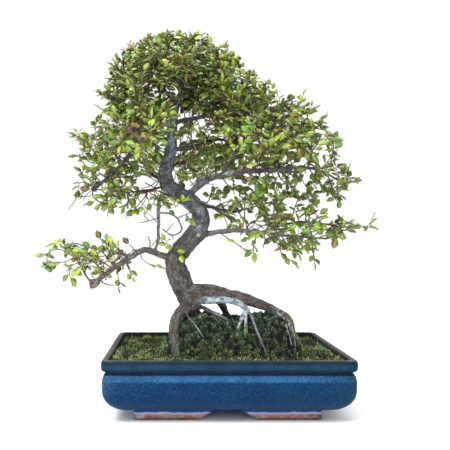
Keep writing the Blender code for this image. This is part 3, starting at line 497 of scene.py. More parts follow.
def ground(x, y):
    """Height of the soil: a level bed with the mound that the roots stand on."""
    across = smooth_step(*MOUND_LEFT, x) * (1.0 - smooth_step(*MOUND_RIGHT, x))
    along = smooth_step(*MOUND_FRONT, y) * (1.0 - smooth_step(*MOUND_BACK, y))
    ripple = 3.0 * math.cos((x - 65.0) / 15.0) * across * along
    unevenness = 0.8 * math.sin(x / 17.0) * math.cos(y / 13.0)
    return BED_HEIGHT + MOUND_HEIGHT * across * along + ripple + unevenness


# Objects

def deselect():
    for each in bpy.context.selected_objects:
        each.select_set(False)


def only(made):
    """Selects one object and makes it active."""
    deselect()
    made.select_set(True)
    bpy.context.view_layer.objects.active = made


def edit(made, mode="VERT"):
    only(made)
    bpy.ops.object.mode_set(mode="EDIT")
    bpy.ops.mesh.select_mode(type=mode)


def done():
    bpy.ops.object.mode_set(mode="OBJECT")


def select_all():
    bpy.ops.mesh.select_all(action="SELECT")


def extrude(*move):
    """Extrudes what is selected and moves it."""
    bpy.ops.mesh.extrude_region_move(TRANSFORM_OT_translate={"value": move})


def apply_place(made):
    only(made)
    bpy.ops.object.transform_apply(location=True, rotation=True, scale=True)


def apply_modifiers(made):
    only(made)
    for each in list(made.modifiers):
        bpy.ops.object.modifier_apply(modifier=each.name)


def select_where(made, test, kind="verts"):
    """In edit mode, selects only the vertices, edges or faces that pass a test."""
    work = bmesh.from_edit_mesh(made.data)
    for each in list(work.verts) + list(work.edges) + list(work.faces):
        each.select = False
    for each in getattr(work, kind):
        if test(each):
            each.select_set(True)
    work.select_flush_mode()
    bmesh.update_edit_mesh(made.data)


def recalculate(made):
    edit(made, "FACE")
    select_all()
    bpy.ops.mesh.remove_doubles(threshold=1e-6)
    bpy.ops.mesh.normals_make_consistent(inside=False)
    done()


def mesh_piece(name, vertices, faces):
    """An object from arrays of places in the scene and of faces."""
    mesh = bpy.data.meshes.new(name)
    mesh.from_pydata([tuple(v) for v in vertices], [], [tuple(f) for f in faces])
    made = bpy.data.objects.new(name, mesh)
    bpy.context.scene.collection.objects.link(made)
    return made


def set_attribute(made, name, values):
    attribute = made.data.attributes.new(name, "FLOAT", "POINT")
    attribute.data.foreach_set("value", np.asarray(values, np.float32))


def set_grain(made, places):
    """The place in the wood's own grain of each vertex, which the bark's pattern follows."""
    attribute = made.data.attributes.new("grain", "FLOAT_VECTOR", "POINT")
    attribute.data.foreach_set("vector", np.asarray(places, np.float32).ravel())


def present(made, finish, replaced, smooth_angle=None):
    """Gives a piece its material, smooth shading and body, and hides the nodes that it stands for."""
    made.data.materials.clear()
    made.data.materials.append(finish)
    only(made)
    if smooth_angle is None:
        bpy.ops.object.shade_smooth()
    else:
        bpy.ops.object.shade_smooth_by_angle(angle=math.radians(smooth_angle))
    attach(made, "root")
    if replaced:
        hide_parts(*replaced)


def tubes(name, lines, resolution):
    """One mesh of closed tubes, each through its rows of place and radius in millimetres."""
    curve = bpy.data.curves.new(name, "CURVE")
    curve.dimensions = "3D"
    curve.bevel_depth = 1.0
    curve.bevel_resolution = resolution
    curve.use_fill_caps = True
    for line in lines:
        spline = curve.splines.new("POLY")
        spline.points.add(len(line) - 1)
        places = to_scene([row[:3] for row in line])
        for point, place, row in zip(spline.points, places, line):
            point.co = (*place, 1.0)
            point.radius = row[3] * MM
    made = bpy.data.objects.new(name, curve)
    bpy.context.scene.collection.objects.link(made)
    only(made)
    bpy.ops.object.convert(target="MESH")
    made = bpy.context.object
    work = bmesh.new()
    work.from_mesh(made.data)
    bmesh.ops.remove_doubles(work, verts=work.verts, dist=1e-6)
    bmesh.ops.recalc_face_normals(work, faces=work.faces)
    work.to_mesh(made.data)
    work.free()
    made.data.materials.clear()
    return made


# Effects and materials

class Finish:
    """A material with its shader, and short ways to add what varies over the surface."""

    def __init__(self, name, roughness, **sockets):
        self.material = bpy.data.materials.new(name)
        self.material.use_nodes = True
        self.tree = self.material.node_tree
        self.shader = self.tree.nodes["Principled BSDF"]
        self.wear(Roughness=roughness, **sockets)
        self.place = self.node("ShaderNodeTexCoord").outputs["Object"]

    def node(self, kind, **settings):
        made = self.tree.nodes.new(kind)
        for setting, value in settings.items():
            setattr(made, setting, value)
        return made

    def feed(self, socket, value):
        if isinstance(value, bpy.types.NodeSocket):
            self.tree.links.new(value, socket)
        elif isinstance(value, tuple) and len(value) == 3 and socket.type == "RGBA":
            socket.default_value = (*value, 1.0)
        else:
            socket.default_value = value

    def put(self, kind, values, output=0, **settings):
        """A node with its inputs fed by number or name; gives one of its outputs."""
        made = self.node(kind, **settings)
        for socket, value in values.items():
            self.feed(made.inputs[socket], value)
        return made.outputs[output]

    def effect(self, group, scale, low, high, vector=None):
        """A shared effect, placed with its own values."""
        values = {"Vector": vector or self.place, "Scale": scale, "Low": low, "High": high}
        return self.put("ShaderNodeGroup", values, node_tree=group)

    def patches(self, *values):
        """Soft uneven patches."""
        return self.effect(PATCHES, *values)

    def specks(self, *values):
        """Small round specks."""
        return self.effect(SPECKS, *values)

    def attribute(self, name, output="Fac"):
        return self.node("ShaderNodeAttribute", attribute_name=name).outputs[output]

    def mix(self, factor, below, above):
        values = {"Factor": factor, 6: below, 7: above}
        return self.put("ShaderNodeMix", values, 2, data_type="RGBA")

    def sum(self, operation, first, second=0.5, clamp=False):
        return self.put("ShaderNodeMath", {0: first, 1: second}, operation=operation, use_clamp=clamp)

    def product(self, first, *factors):
        """Masks and numbers multiplied."""
        for each in factors:
            first = self.sum("MULTIPLY", first, each)
        return first

    def map(self, value, low, high, new_low=0.0, new_high=1.0):
        values = dict(enumerate((value, low, high, new_low, new_high)))
        return self.put("ShaderNodeMapRange", values, interpolation_type="SMOOTHSTEP")

    def span(self, mask, low, high):
        """A mask brought to between two levels."""
        return self.map(mask, 0.0, 1.0, low, high)

    def within(self, value, start, full, end, still_full):
        """A soft band of a value."""
        return self.product(self.map(value, start, full), self.map(value, end, still_full))

    def layers(self, colour, *rows):
        """Colours laid over one another, each where all of its masks are high."""
        for above, *masks in rows:
            colour = self.mix(self.product(*masks), colour, above)
        return colour

    def axis(self, letter, vector=None):
        return self.put("ShaderNodeSeparateXYZ", {0: vector or self.place}, letter)

    def stretch(self, scale, vector=None):
        return self.put("ShaderNodeMapping", {"Vector": vector or self.place, "Scale": scale})

    def ramp(self, factor, stops):
        made = self.node("ShaderNodeValToRGB")
        steps = made.color_ramp.elements
        while len(steps) < len(stops):
            steps.new(0.5)
        for step, (position, colour) in zip(steps, stops):
            step.position = position
            step.color = (*colour, 1.0)
        self.feed(made.inputs[0], factor)
        return made.outputs[0]

    def bump(self, height, distance, strength, over=None):
        values = {"Strength": strength, "Distance": distance * MM, "Height": height}
        if over is not None:
            values["Normal"] = over
        return self.put("ShaderNodeBump", values)

    def wear(self, **sockets):
        """Feeds the shader's sockets; gives the material."""
        for socket, value in sockets.items():
            self.feed(self.shader.inputs[socket.replace("_", " ")], value)
        return self.material


def new_effect(name, inputs, build):
    """A node group: a vector and named numbers go in, and one mask comes out."""
    group = bpy.data.node_groups.new(name, "ShaderNodeTree")
    group.interface.new_socket(name="Vector", in_out="INPUT", socket_type="NodeSocketVector")
    for each, value in inputs.items():
        socket = group.interface.new_socket(name=each, in_out="INPUT", socket_type="NodeSocketFloat")
        socket.default_value = value
    group.interface.new_socket(name="Mask", in_out="OUTPUT", socket_type="NodeSocketFloat")
    entry = group.nodes.new("NodeGroupInput")
    leave = group.nodes.new("NodeGroupOutput")
    group.links.new(build(group, entry.outputs), leave.inputs["Mask"])
    return group


def fade(group, value, low, high):
    """Nought below the low value, one above the high one, soft between."""
    made = group.nodes.new("ShaderNodeMapRange")
    made.interpolation_type = "SMOOTHSTEP"
    group.links.new(value, made.inputs["Value"])
    group.links.new(low, made.inputs["From Min"])
    group.links.new(high, made.inputs["From Max"])
    return made.outputs[0]


def patches(group, entry):
    made = group.nodes.new("ShaderNodeTexNoise")
    made.inputs["Detail"].default_value = 5.0
    made.inputs["Roughness"].default_value = 0.6
    group.links.new(entry["Vector"], made.inputs["Vector"])
    group.links.new(entry["Scale"], made.inputs["Scale"])
    return fade(group, made.outputs[0], entry["Low"], entry["High"])


def specks(group, entry):
    made = group.nodes.new("ShaderNodeTexVoronoi")
    group.links.new(entry["Vector"], made.inputs["Vector"])
    group.links.new(entry["Scale"], made.inputs["Scale"])
    return fade(group, made.outputs["Distance"], entry["High"], entry["Low"])


PATCHES = new_effect("patches", {"Scale": 60.0, "Low": 0.45, "High": 0.6}, patches)
SPECKS = new_effect("specks", {"Scale": 900.0, "Low": 0.1, "High": 0.3}, specks)


def glaze_finish():
    """Speckled blue glaze, dark and dusty on the rim, with bare red clay under its lower edge, painted
    highlights high on the belly, on its left end and along the rim's roll, and painted shade in the
    groove under the rim and along the bottom of the feet.
    """
    made = Finish("speckled_blue_glaze", 0.3, Specular_IOR_Level=0.06)
    height = made.axis("Z")
    side = made.sum("SUBTRACT", made.axis("X"), MIDDLE.x)
    off_x = made.sum("ABSOLUTE", side)
    off_y = made.sum("ABSOLUTE", made.sum("SUBTRACT", made.axis("Y"), MIDDLE.y))
    clouds = made.patches(26.0, 0.35, 0.66, made.stretch((1.0, 1.0, 1.8)))
    flow = made.patches(70.0, 0.36, 0.62, made.stretch((1.0, 1.0, 0.22)))
    mottle = made.specks(190.0, 0.15, 0.55, made.stretch((1.0, 1.0, 0.8)))
    salt = made.patches(520.0, 0.44, 0.60)
    fine = made.specks(520.0, 0.04, 0.30)
    # painted highlight: a lighter band high on the belly, where the light catches it
    highlight_band = made.product(made.map(height, 0.0495, 0.0530), made.span(flow, 0.62, 0.95),
                        made.map(side, 0.080, 0.140, 1.0, 0.6))
    # painted highlight: pale speckled glaze on the upper left end of the belly
    left_end_highlight = made.product(made.map(side, -0.126, -0.150), made.map(height, 0.026, 0.050, 0.15, 0.9))
    # a thin lighter line low on the belly, just above the feet
    low_pale_line = made.within(height, 0.0118, 0.0128, 0.0150, 0.0136)
    # painted shade: a near-black line in the groove under the rim
    groove_shade = made.within(height, 0.0575, 0.0592, 0.0632, 0.0618)
    blue = made.layers(
        made.mix(clouds, (0.0014, 0.024, 0.080), (0.0022, 0.033, 0.104)),
        ((0.007, 0.048, 0.125), mottle, 0.22),
        ((0.0006, 0.011, 0.042), salt, 0.65),
        ((0.030, 0.118, 0.260), highlight_band, made.span(salt, 1.0, 0.55)),
        ((0.004, 0.026, 0.075), made.map(height, 0.034, 0.016), 0.35),
        ((0.006, 0.040, 0.060), made.patches(13.0, 0.52, 0.64), 0.3),
        ((0.030, 0.110, 0.170), left_end_highlight, made.span(salt, 0.7, 0.2)),
        ((0.006, 0.034, 0.056), made.map(side, 0.105, 0.150, 0.0, 0.5)),
        ((0.020, 0.090, 0.130), low_pale_line, made.span(flow, 0.0, 0.5)),
        ((0.0008, 0.010, 0.036), made.specks(430.0, 0.12, 0.42), 0.65),
        ((0.055, 0.170, 0.290), fine, 0.62),
        ((0.002, 0.008, 0.018), groove_shade, 0.85),
    )
    # painted highlight: a lighter blue band along the rolled front of the rim
    roll = made.within(height, 0.0645, 0.0675, 0.0735, 0.0705)
    rim_tone = made.layers(
        made.mix(clouds, (0.003, 0.013, 0.027), (0.006, 0.024, 0.046)),
        ((0.009, 0.042, 0.085), roll, made.span(flow, 0.4, 0.9)),
        ((0.003, 0.012, 0.020), salt, 0.4),
        ((0.030, 0.068, 0.092), fine, 0.4),
    )
    rim = made.map(height, 0.0612, 0.0628)
    dust = made.patches(75.0, 0.38, 0.66)
    dusty = made.product(made.map(height, 0.0753, 0.0760), made.span(dust, 0.55, 1.0),
                         made.map(off_x, 0.1340, 0.1430, 0.30, 1.0))
    past_wall = made.sum("MAXIMUM", made.sum("SUBTRACT", off_x, 0.1440),
                         made.sum("SUBTRACT", off_y, 0.0975))
    glaze = made.layers(
        made.mix(rim, blue, rim_tone),
        ((0.014, 0.022, 0.026), made.map(height, 0.0725, 0.0750), made.span(flow, 0.3, 0.9)),
        ((0.135, 0.116, 0.098), dusty),
        ((0.014, 0.014, 0.011), made.map(past_wall, 0.0012, 0.0), rim, 0.85),
    )
    stains = made.patches(42.0, 0.5, 0.62, made.stretch((1.0, 1.0, 0.6)))
    salts = made.patches(85.0, 0.52, 0.60, made.stretch((1.0, 1.0, 2.0)))
    # dirt at the outer ends of the feet, and painted shade along their bottom edge next to the floor
    grime_and_shade = made.sum("MAXIMUM", made.map(height, 0.0050, 0.0008), made.map(off_x, 0.1060, 0.1130))
    clay = made.layers(
        made.mix(made.patches(60.0, 0.4, 0.62), (0.26, 0.115, 0.085), (0.36, 0.22, 0.18)),
        ((0.10, 0.080, 0.065), stains, 0.6),
        ((0.42, 0.40, 0.42), salts, made.map(side, -0.075, -0.095, 0.45, 0.95)),
        ((0.026, 0.023, 0.017), grime_and_shade, made.span(dust, 0.60, 1.0), 0.90),
    )
    wander = made.patches(120.0, 0.2, 0.8, made.stretch((1.0, 1.0, 0.1)))
    edge = made.sum("ADD", height, made.product(wander, -0.0020))
    bare = made.map(edge, 0.0085, 0.0079)
    colour = made.layers(
        made.mix(bare, glaze, clay),
        ((0.36, 0.34, 0.54), made.within(edge, 0.0052, 0.0066, 0.0090, 0.0081), 0.85),
        ((0.016, 0.078, 0.250), made.map(edge, 0.0080, 0.0087), made.map(height, 0.0120, 0.0108), 0.7),
    )
    rough = made.span(made.sum("MAXIMUM", bare, dusty), 0.30, 0.85)
    peel = made.bump(made.patches(260.0, 0.2, 0.8), 0.12, 0.5)
    normal = made.bump(made.product(stains, bare), 0.25, 0.6, peel)
    return made.wear(Base_Color=colour, Roughness=rough, Normal=normal)


def bark_finish():
    """Bark that turns from brown-grey low down to blue-grey, with pale scars, cracks, limed patches and
    a painted pale sheen where light falls on the trunk and the upper right bough.
    """
    made = Finish("elm_bark", 0.85, Specular_IOR_Level=0.3)
    dark = (0.028, 0.023, 0.021)
    height = made.axis("Z")
    grain = made.attribute("grain", "Vector")
    broad = made.patches(34.0, 0.36, 0.64)
    small = made.patches(260.0, 0.38, 0.62)
    cracks = made.patches(260.0, 0.50, 0.60, grain)
    streaks = made.patches(620.0, 0.44, 0.62, grain)
    across = made.patches(200.0, 0.56, 0.66, made.stretch((0.5, 0.5, 4.0), grain))
    high = made.map(height, 0.185, 0.30)
    flakes = made.product(made.specks(330.0, 0.12, 0.40), 0.5)
    crust = made.sum("SUBTRACT", made.span(made.patches(150.0, 0.38, 0.56), 0.25, 1.05), flakes)
    colour = made.layers(
        made.mix(broad, (0.104, 0.092, 0.088), (0.205, 0.184, 0.174)),
        ((0.150, 0.088, 0.066), made.patches(55.0, 0.45, 0.62), made.map(height, 0.20, 0.15), 0.45),
        ((0.165, 0.200, 0.225), high, 0.8),
        ((0.27, 0.33, 0.39), made.map(height, 0.29, 0.35), made.span(broad, 0.35, 1.0), 0.8),
        ((0.33, 0.38, 0.46), made.patches(170.0, 0.48, 0.64), high, 0.60),
        (dark, small, 0.30),
        (dark, streaks, 0.40),
        (dark, cracks, 0.60),
        (dark, made.specks(460.0, 0.12, 0.40), 0.6),
        ((0.33, 0.36, 0.39), across, made.span(high, 0.25, 0.5)),
        ((0.070, 0.045, 0.036), made.attribute("thin"), 0.8),
        ((0.05, 0.075, 0.02), made.map(height, 0.125, 0.085), made.patches(90.0, 0.42, 0.6), 0.45),
        # limed crust on the pale roots, pale scars and flaking, and painted highlights: a pale sheen
        # where light falls on the trunk and the upper right bough
        ((0.46, 0.56, 0.62), made.sum("MULTIPLY", made.attribute("lime"), crust, clamp=True)),
        (made.mix(small, (0.38, 0.34, 0.32), (0.19, 0.16, 0.15)), made.attribute("dead"), 0.85),
    )
    ridges = made.sum("ADD", streaks, made.product(cracks, 2.0))
    normal = made.bump(ridges, -0.9, 0.9, made.bump(small, 0.5, 0.7))
    return made.wear(Base_Color=colour, Normal=normal)


def twig_finish():
    """Thin dark red-brown twigs with a grey bloom."""
    made = Finish("twig_bark", 0.72)
    rings = made.specks(700.0, 0.12, 0.4)
    brown = made.mix(made.patches(120.0, 0.35, 0.65), (0.055, 0.028, 0.020), (0.150, 0.080, 0.054))
    colour = made.layers(brown, ((0.22, 0.19, 0.16), rings, 0.35))
    return made.wear(Base_Color=colour, Normal=made.bump(rings, 0.2, 0.6))


def leaf_finish():
    """Elm leaves from dark to yellow-green by each leaf's own tint, with ribs and a pale edge painted as
    a highlight.
    """
    made = Finish("elm_leaf", 0.46, Specular_IOR_Level=0.34)
    tint = made.attribute("tint")
    plain = made.ramp(tint, (
        (0.0, (0.022, 0.036, 0.008)), (0.25, (0.096, 0.127, 0.018)), (0.50, (0.236, 0.294, 0.042)),
        (0.75, (0.410, 0.505, 0.082)), (0.92, (0.570, 0.630, 0.085)), (1.0, (0.640, 0.560, 0.040)),
    ))
    fresh = made.ramp(tint, ((0.2, (0.050, 0.158, 0.034)), (0.7, (0.150, 0.425, 0.084))))
    on_leaf = made.node("ShaderNodeUVMap", uv_map="leaf_map").outputs[0]
    across = made.sum("ABSOLUTE", made.sum("SUBTRACT", made.axis("X", on_leaf), 0.5))
    rib = made.map(across, 0.045, 0.0)
    slant = made.sum("SUBTRACT", made.product(made.axis("Y", on_leaf), 9.0), made.product(across, 5.0))
    wave = made.sum("ABSOLUTE", made.sum("SUBTRACT", made.sum("FRACT", slant), 0.5))
    veins = made.product(made.map(wave, 0.12, 0.0), made.map(across, 0.48, 0.30))
    colour = made.layers(
        plain,
        (fresh, made.attribute("cool")),
        ((0.200, 0.070, 0.026), made.attribute("rust")),
        ((0.40, 0.52, 0.16), rib, 0.5),
        ((0.30, 0.44, 0.10), veins, 0.22),
        ((0.05, 0.09, 0.015), made.patches(260.0, 0.4, 0.7), 0.22),
        # painted highlight: a pale edge where light catches the rim of each leaf
        ((0.42, 0.45, 0.13), made.map(across, 0.40, 0.50), 0.30),
    )
    return made.wear(Base_Color=colour, Normal=made.bump(made.sum("ADD", rib, veins), -0.12, 0.6))


def soil_finish():
    """Damp dark soil, painted nearly black in its hollows as shade, its cushions grown over with fine
    moss.
    """
    made = Finish("damp_soil", 0.9, Specular_IOR_Level=0.2)
    crumbs = made.specks(380.0, 0.15, 0.5)
    cushion = made.attribute("cushion")
    green = made.mix(crumbs, (0.020, 0.034, 0.012), (0.060, 0.084, 0.024))
    colour = made.layers(
        made.mix(crumbs, (0.008, 0.007, 0.006), (0.040, 0.030, 0.020)),
        (green, made.sum("MAXIMUM", made.patches(48.0, 0.40, 0.56), cushion), 0.9),
        # painted shade: the hollows between the cushions nearly black
        ((0.004, 0.005, 0.004), made.map(cushion, 0.25, 0.0)),
    )
    return made.wear(Base_Color=colour, Normal=made.bump(crumbs, 0.9, 0.9))


def moss_finish():
    """Moss, dark to bright by each spike's shade, grey-green to yellow-green by its warmth."""
    made = Finish("moss", 0.85, Specular_IOR_Level=0.2)
    shade = made.attribute("shade")
    cool = made.ramp(shade, (
        (0.0, (0.004, 0.007, 0.005)), (0.35, (0.023, 0.052, 0.043)), (0.62, (0.068, 0.146, 0.124)),
        (0.85, (0.190, 0.310, 0.262)), (1.0, (0.350, 0.440, 0.380)),
    ))
    warm = made.ramp(shade, (
        (0.0, (0.007, 0.009, 0.004)), (0.35, (0.040, 0.058, 0.014)), (0.62, (0.115, 0.195, 0.038)),
        (0.85, (0.250, 0.370, 0.078)), (1.0, (0.420, 0.400, 0.160)),
    ))
    return made.wear(Base_Color=made.mix(made.attribute("warm"), cool, warm))


def grit_finish():
    """Crumbs from nearly black to pale stone by each one's shade."""
    made = Finish("soil_grit", 0.9)
    stops = ((0.0, (0.020, 0.014, 0.010)), (0.6, (0.085, 0.055, 0.035)), (1.0, (0.26, 0.23, 0.19)))
    return made.wear(Base_Color=made.ramp(made.attribute("shade"), stops))


def two_tone_finish(name, roughness, scale, below, above):
    """A plain finish whose tone varies a little."""
    made = Finish(name, roughness)
    return made.wear(Base_Color=made.mix(made.patches(scale, 0.3, 0.7), below, above))


# Pot

def quarter(top, inset, reach, bottom, steps):
    """Height and inset down a quarter of an ellipse, from its flat bottom up to the wall."""
    rows = []
    for step in range(steps + 1):
        angle = math.radians(90.0 * (1.0 - step / steps))
        rows.append((top - (top - bottom) * math.sin(angle), inset + reach - reach * math.cos(angle)))
    return rows


def make_pot(finish):
    """The tray, drawn up level by level from its flat underside, with its feet and drain holes."""
    levels = quarter(BELLY_TOP, BELLY_INSET, BELLY_REACH, FOOT_HEIGHT, 14)
    levels += list(RIM_PROFILE)
    levels += quarter(BOWL_TOP, BOWL_INSET, BOWL_REACH, FLOOR_TOP, 8)[::-1]
    z, inset = levels[0]
    bpy.ops.mesh.primitive_plane_add(size=2.0, location=(MIDDLE.x, MIDDLE.y, z * MM))
    pot = bpy.context.object
    pot.name = "glazed_pot"
    pot.scale = ((RIM_LENGTH / 2 - inset) * MM, (RIM_WIDTH / 2 - inset) * MM, 1.0)
    apply_place(pot)
    edit(pot)
    select_all()
    bpy.ops.mesh.bevel(offset=RIM_CORNER * MM, segments=6, affect="VERTICES")
    select_where(pot, lambda edge: edge.calc_length() > 0.1, "edges")
    bpy.ops.mesh.subdivide(number_cuts=23)
    select_all()
    for (z, inset), (next_z, next_inset) in zip(levels, levels[1:]):
        extrude(0.0, 0.0, (next_z - z) * MM)
        grow_x = (RIM_LENGTH / 2 - next_inset) / (RIM_LENGTH / 2 - inset)
        grow_y = (RIM_WIDTH / 2 - next_inset) / (RIM_WIDTH / 2 - inset)
        bpy.ops.transform.resize(value=(grow_x, grow_y, 1.0), center_override=tuple(MIDDLE))
    done()
    for vertex in pot.data.vertices:
        place = vertex.co * 14.0
        wave = noise.noise(place) * 0.45 * MM
        outwards = vertex.co - MIDDLE
        outwards.z = 0.0
        vertex.co += outwards.normalized() * wave
    recalculate(pot)
    feet = [make_foot(side_x, side_y) for side_x, side_y in ((1, 1), (-1, 1), (1, -1), (-1, -1))]
    drills = []
    for side in (-1, 1):
        bpy.ops.mesh.primitive_cylinder_add(
            vertices=32, radius=DRAIN_HOLE / 2 * MM, depth=30 * MM,
            location=(MIDDLE.x + side * DRAIN_X * MM, MIDDLE.y, FLOOR_TOP * MM))
        drills.append(bpy.context.object)
    for tools, operation in ((feet, "UNION"), (drills, "DIFFERENCE")):
        for tool in tools:
            cut = pot.modifiers.new(operation, "BOOLEAN")
            cut.object = tool
            cut.operation = operation
            apply_modifiers(pot)
            bpy.data.objects.remove(tool)
    present(pot, finish, ["pot"], 35)


def make_foot(side_x, side_y):
    """One L-shaped foot with slanted inner ends and worn edges."""
    near = 1e-5
    corner = (side_x * (FOOT_OUTER_X - FOOT_LEG / 2), side_y * (FOOT_OUTER_Y - FOOT_LEG / 2), 0.0)
    bpy.ops.mesh.primitive_plane_add(size=FOOT_LEG * MM, location=tuple(to_scene(corner)))
    foot = bpy.context.object
    apply_place(foot)
    reach_x = FOOT_OUTER_X - FOOT_LEG - FOOT_INNER_X
    reach_y = FOOT_OUTER_Y - FOOT_LEG - FOOT_INNER_Y
    inner = (side_x * (FOOT_OUTER_X - FOOT_LEG), side_y * (FOOT_OUTER_Y - FOOT_LEG), 0.0)
    inner_x, inner_y, _ = to_scene(inner)

    def on_x(edge):
        return all(abs(vertex.co.x - inner_x) < near for vertex in edge.verts)

    def on_y(edge):
        return (edge.calc_length() > 0.9 * FOOT_LEG * MM
                and all(abs(vertex.co.y - inner_y) < near for vertex in edge.verts)
                and all((vertex.co.x - inner_x) * side_x > -near for vertex in edge.verts))

    edit(foot, "EDGE")
    select_where(foot, on_x, "edges")
    extrude(-side_x * reach_x * MM, 0.0, 0.0)
    select_where(foot, on_y, "edges")
    extrude(0.0, -side_y * reach_y * MM, 0.0)
    select_all()
    rise = (FOOT_HEIGHT + FOOT_SUNK) * MM
    extrude(0.0, 0.0, rise)
    done()
    end_x, end_y, _ = to_scene((side_x * FOOT_INNER_X, side_y * FOOT_INNER_Y, 0))
    for vertex in foot.data.vertices:
        if vertex.co.z > 0.5 * rise and abs(vertex.co.x - end_x) < near:
            vertex.co.x -= side_x * FOOT_SLANT * MM
        if vertex.co.z > 0.5 * rise and abs(vertex.co.y - end_y) < near:
            vertex.co.y -= side_y * FOOT_SLANT * MM
    recalculate(foot)
    worn = foot.modifiers.new("Worn", "BEVEL")
    worn.width = 0.7 * MM
    worn.segments = 2
    worn.limit_method = "ANGLE"
    apply_modifiers(foot)
    return foot


# Soil and moss

def inside_tray(x, y, inset, corner=5.0):
    """The nearest place to a point that lies inside the tray's rounded opening."""
    half_x = RIM_LENGTH / 2 - inset
    half_y = RIM_WIDTH / 2 - inset
    x = min(max(x, -half_x), half_x)
    y = min(max(y, -half_y), half_y)
    over_x = abs(x) - (half_x - corner)
    over_y = abs(y) - (half_y - corner)
    if over_x > 0 and over_y > 0 and math.hypot(over_x, over_y) > corner:
        share = corner / math.hypot(over_x, over_y)
        x = math.copysign(half_x - corner + over_x * share, x)
        y = math.copysign(half_y - corner + over_y * share, y)
    return x, y


def soil_slope(x, y):
    """The way that the ground faces."""
    return unit(np.array((
        ground(x - 1.5, y) - ground(x + 1.5, y),
        ground(x, y - 1.5) - ground(x, y + 1.5), 3.0,
    )))


def soil_place(x, y):
    """A place on the cushioned soil, the way that it faces, and how far up its cushion it is."""
    flat = np.array((x, y, ground(x, y)))
    facing = soil_slope(x, y)
    distances, middles = noise.voronoi(Vector(flat) * 0.15)
    small = noise.voronoi(Vector(flat) * 0.42)[0][0]
    cushion = max(0.0, 1.0 - (distances[0] / 0.62) ** 2)
    rough = noise.fractal(Vector(flat) * 0.09, 1.0, 2.0, 4)
    steep = 1.0 + 0.9 * smooth_step(72.0, 84.0, flat[2])
    blocks = noise.fractal(Vector(flat) * 0.045 + Vector((7.0, 0.0, 0.0)), 1.0, 2.0, 2)
    lift = (2.0 * steep * (cushion - 0.5)
            + 0.9 * (0.5 - small) + 1.4 * rough + 3.2 * (steep - 1.0) * blocks - 0.5)
    away = flat - np.array(middles[0]) / 0.15
    return flat + facing * lift, unit(facing + 0.13 * away), min(cushion + 0.25 * (0.5 - small), 1.0)


def make_soil(finish):
    """The bed and mound, a grid raised to the ground's height, with walls down to the pot's floor."""
    half_x = RIM_LENGTH / 2 - RIM_PROFILE[-1][1] - GAP
    half_y = RIM_WIDTH / 2 - RIM_PROFILE[-1][1] - GAP
    bpy.ops.mesh.primitive_grid_add(x_subdivisions=SOIL_CELLS[0], y_subdivisions=SOIL_CELLS[1], size=2.0)
    soil = bpy.context.object
    soil.name = "soil_bed"
    cushions = []
    for vertex in soil.data.vertices:
        place, _, cushion = soil_place(vertex.co.x * half_x, vertex.co.y * half_y)
        x, y = inside_tray(place[0], place[1], RIM_PROFILE[-1][1] + GAP)
        vertex.co = to_scene((x, y, place[2]))
        cushions.append(cushion)
    set_attribute(soil, "cushion", cushions)
    edit(soil, "EDGE")
    select_where(soil, lambda edge: edge.is_boundary, "edges")
    for low, share in ((50.0, 1.0), (30.0, 0.93), (FLOOR_TOP + GAP, 0.82)):
        bpy.ops.mesh.extrude_region_move()
        work = bmesh.from_edit_mesh(soil.data)
        for vertex in work.verts:
            if vertex.select:
                x = (vertex.co.x - MIDDLE.x) / MM
                y = (vertex.co.y - MIDDLE.y) / MM
                vertex.co = to_scene((x * share, y * share, low))
        bmesh.update_edit_mesh(soil.data)
    bpy.ops.mesh.edge_face_add()
    done()
    recalculate(soil)
    present(soil, finish, ["soil"])


def spike_shape():
    """A slim three-sided spike one unit high that moss is copied from."""
    bpy.ops.mesh.primitive_cone_add(
        vertices=3, radius1=0.27, radius2=0.0, depth=1.0, location=(0.0, 0.0, 0.5))
    return take_shape(bpy.context.object)


def grit_shape():
    """A rough little stone one unit across that soil grit is copied from."""
    bpy.ops.mesh.primitive_ico_sphere_add(subdivisions=1, radius=0.5)
    stone = bpy.context.object
    for vertex in stone.data.vertices:
        vertex.co *= 1.0 + 0.25 * noise.noise(vertex.co * 3.0)
    return take_shape(stone)


def take_shape(made):
    """An object's vertices and faces as arrays; the object is removed."""
    apply_place(made)
    vertices = np.array([tuple(v.co) for v in made.data.vertices])
    faces = [tuple(f.vertices) for f in made.data.polygons]
    bpy.data.objects.remove(made)
    return vertices, faces


def repeated(name, places, faces):
    """One mesh of many copies of a shape: the places of each copy's vertices, and the shape's faces."""
    count = places.shape[1]
    shifts = range(0, count * len(places), count)
    all_faces = [tuple(shift + v for v in face) for shift in shifts for face in faces]
    return mesh_piece(name, to_scene(places.reshape(-1, 3)), all_faces)


def copies(name, shape, placements, attributes):
    """One mesh of copies of a shape, each turned, sized and placed, with values of its own."""
    vertices, faces = shape
    made = repeated(name, np.array([vertices @ turn.T + place for turn, place, *_ in placements]), faces)
    for column, attribute in enumerate(attributes, 2):
        set_attribute(made, attribute, np.repeat([row[column] for row in placements], len(vertices)))
    return made


def turned(axis, spin):
    """Columns of a frame whose third axis points a given way, turned about it."""
    axis = unit(axis)
    side = unit(np.cross(axis, (0.31, 0.87, 0.12)))
    other = np.cross(axis, side)
    return np.column_stack((
        side * math.cos(spin) + other * math.sin(spin),
        -side * math.sin(spin) + other * math.cos(spin),
        axis,
    ))


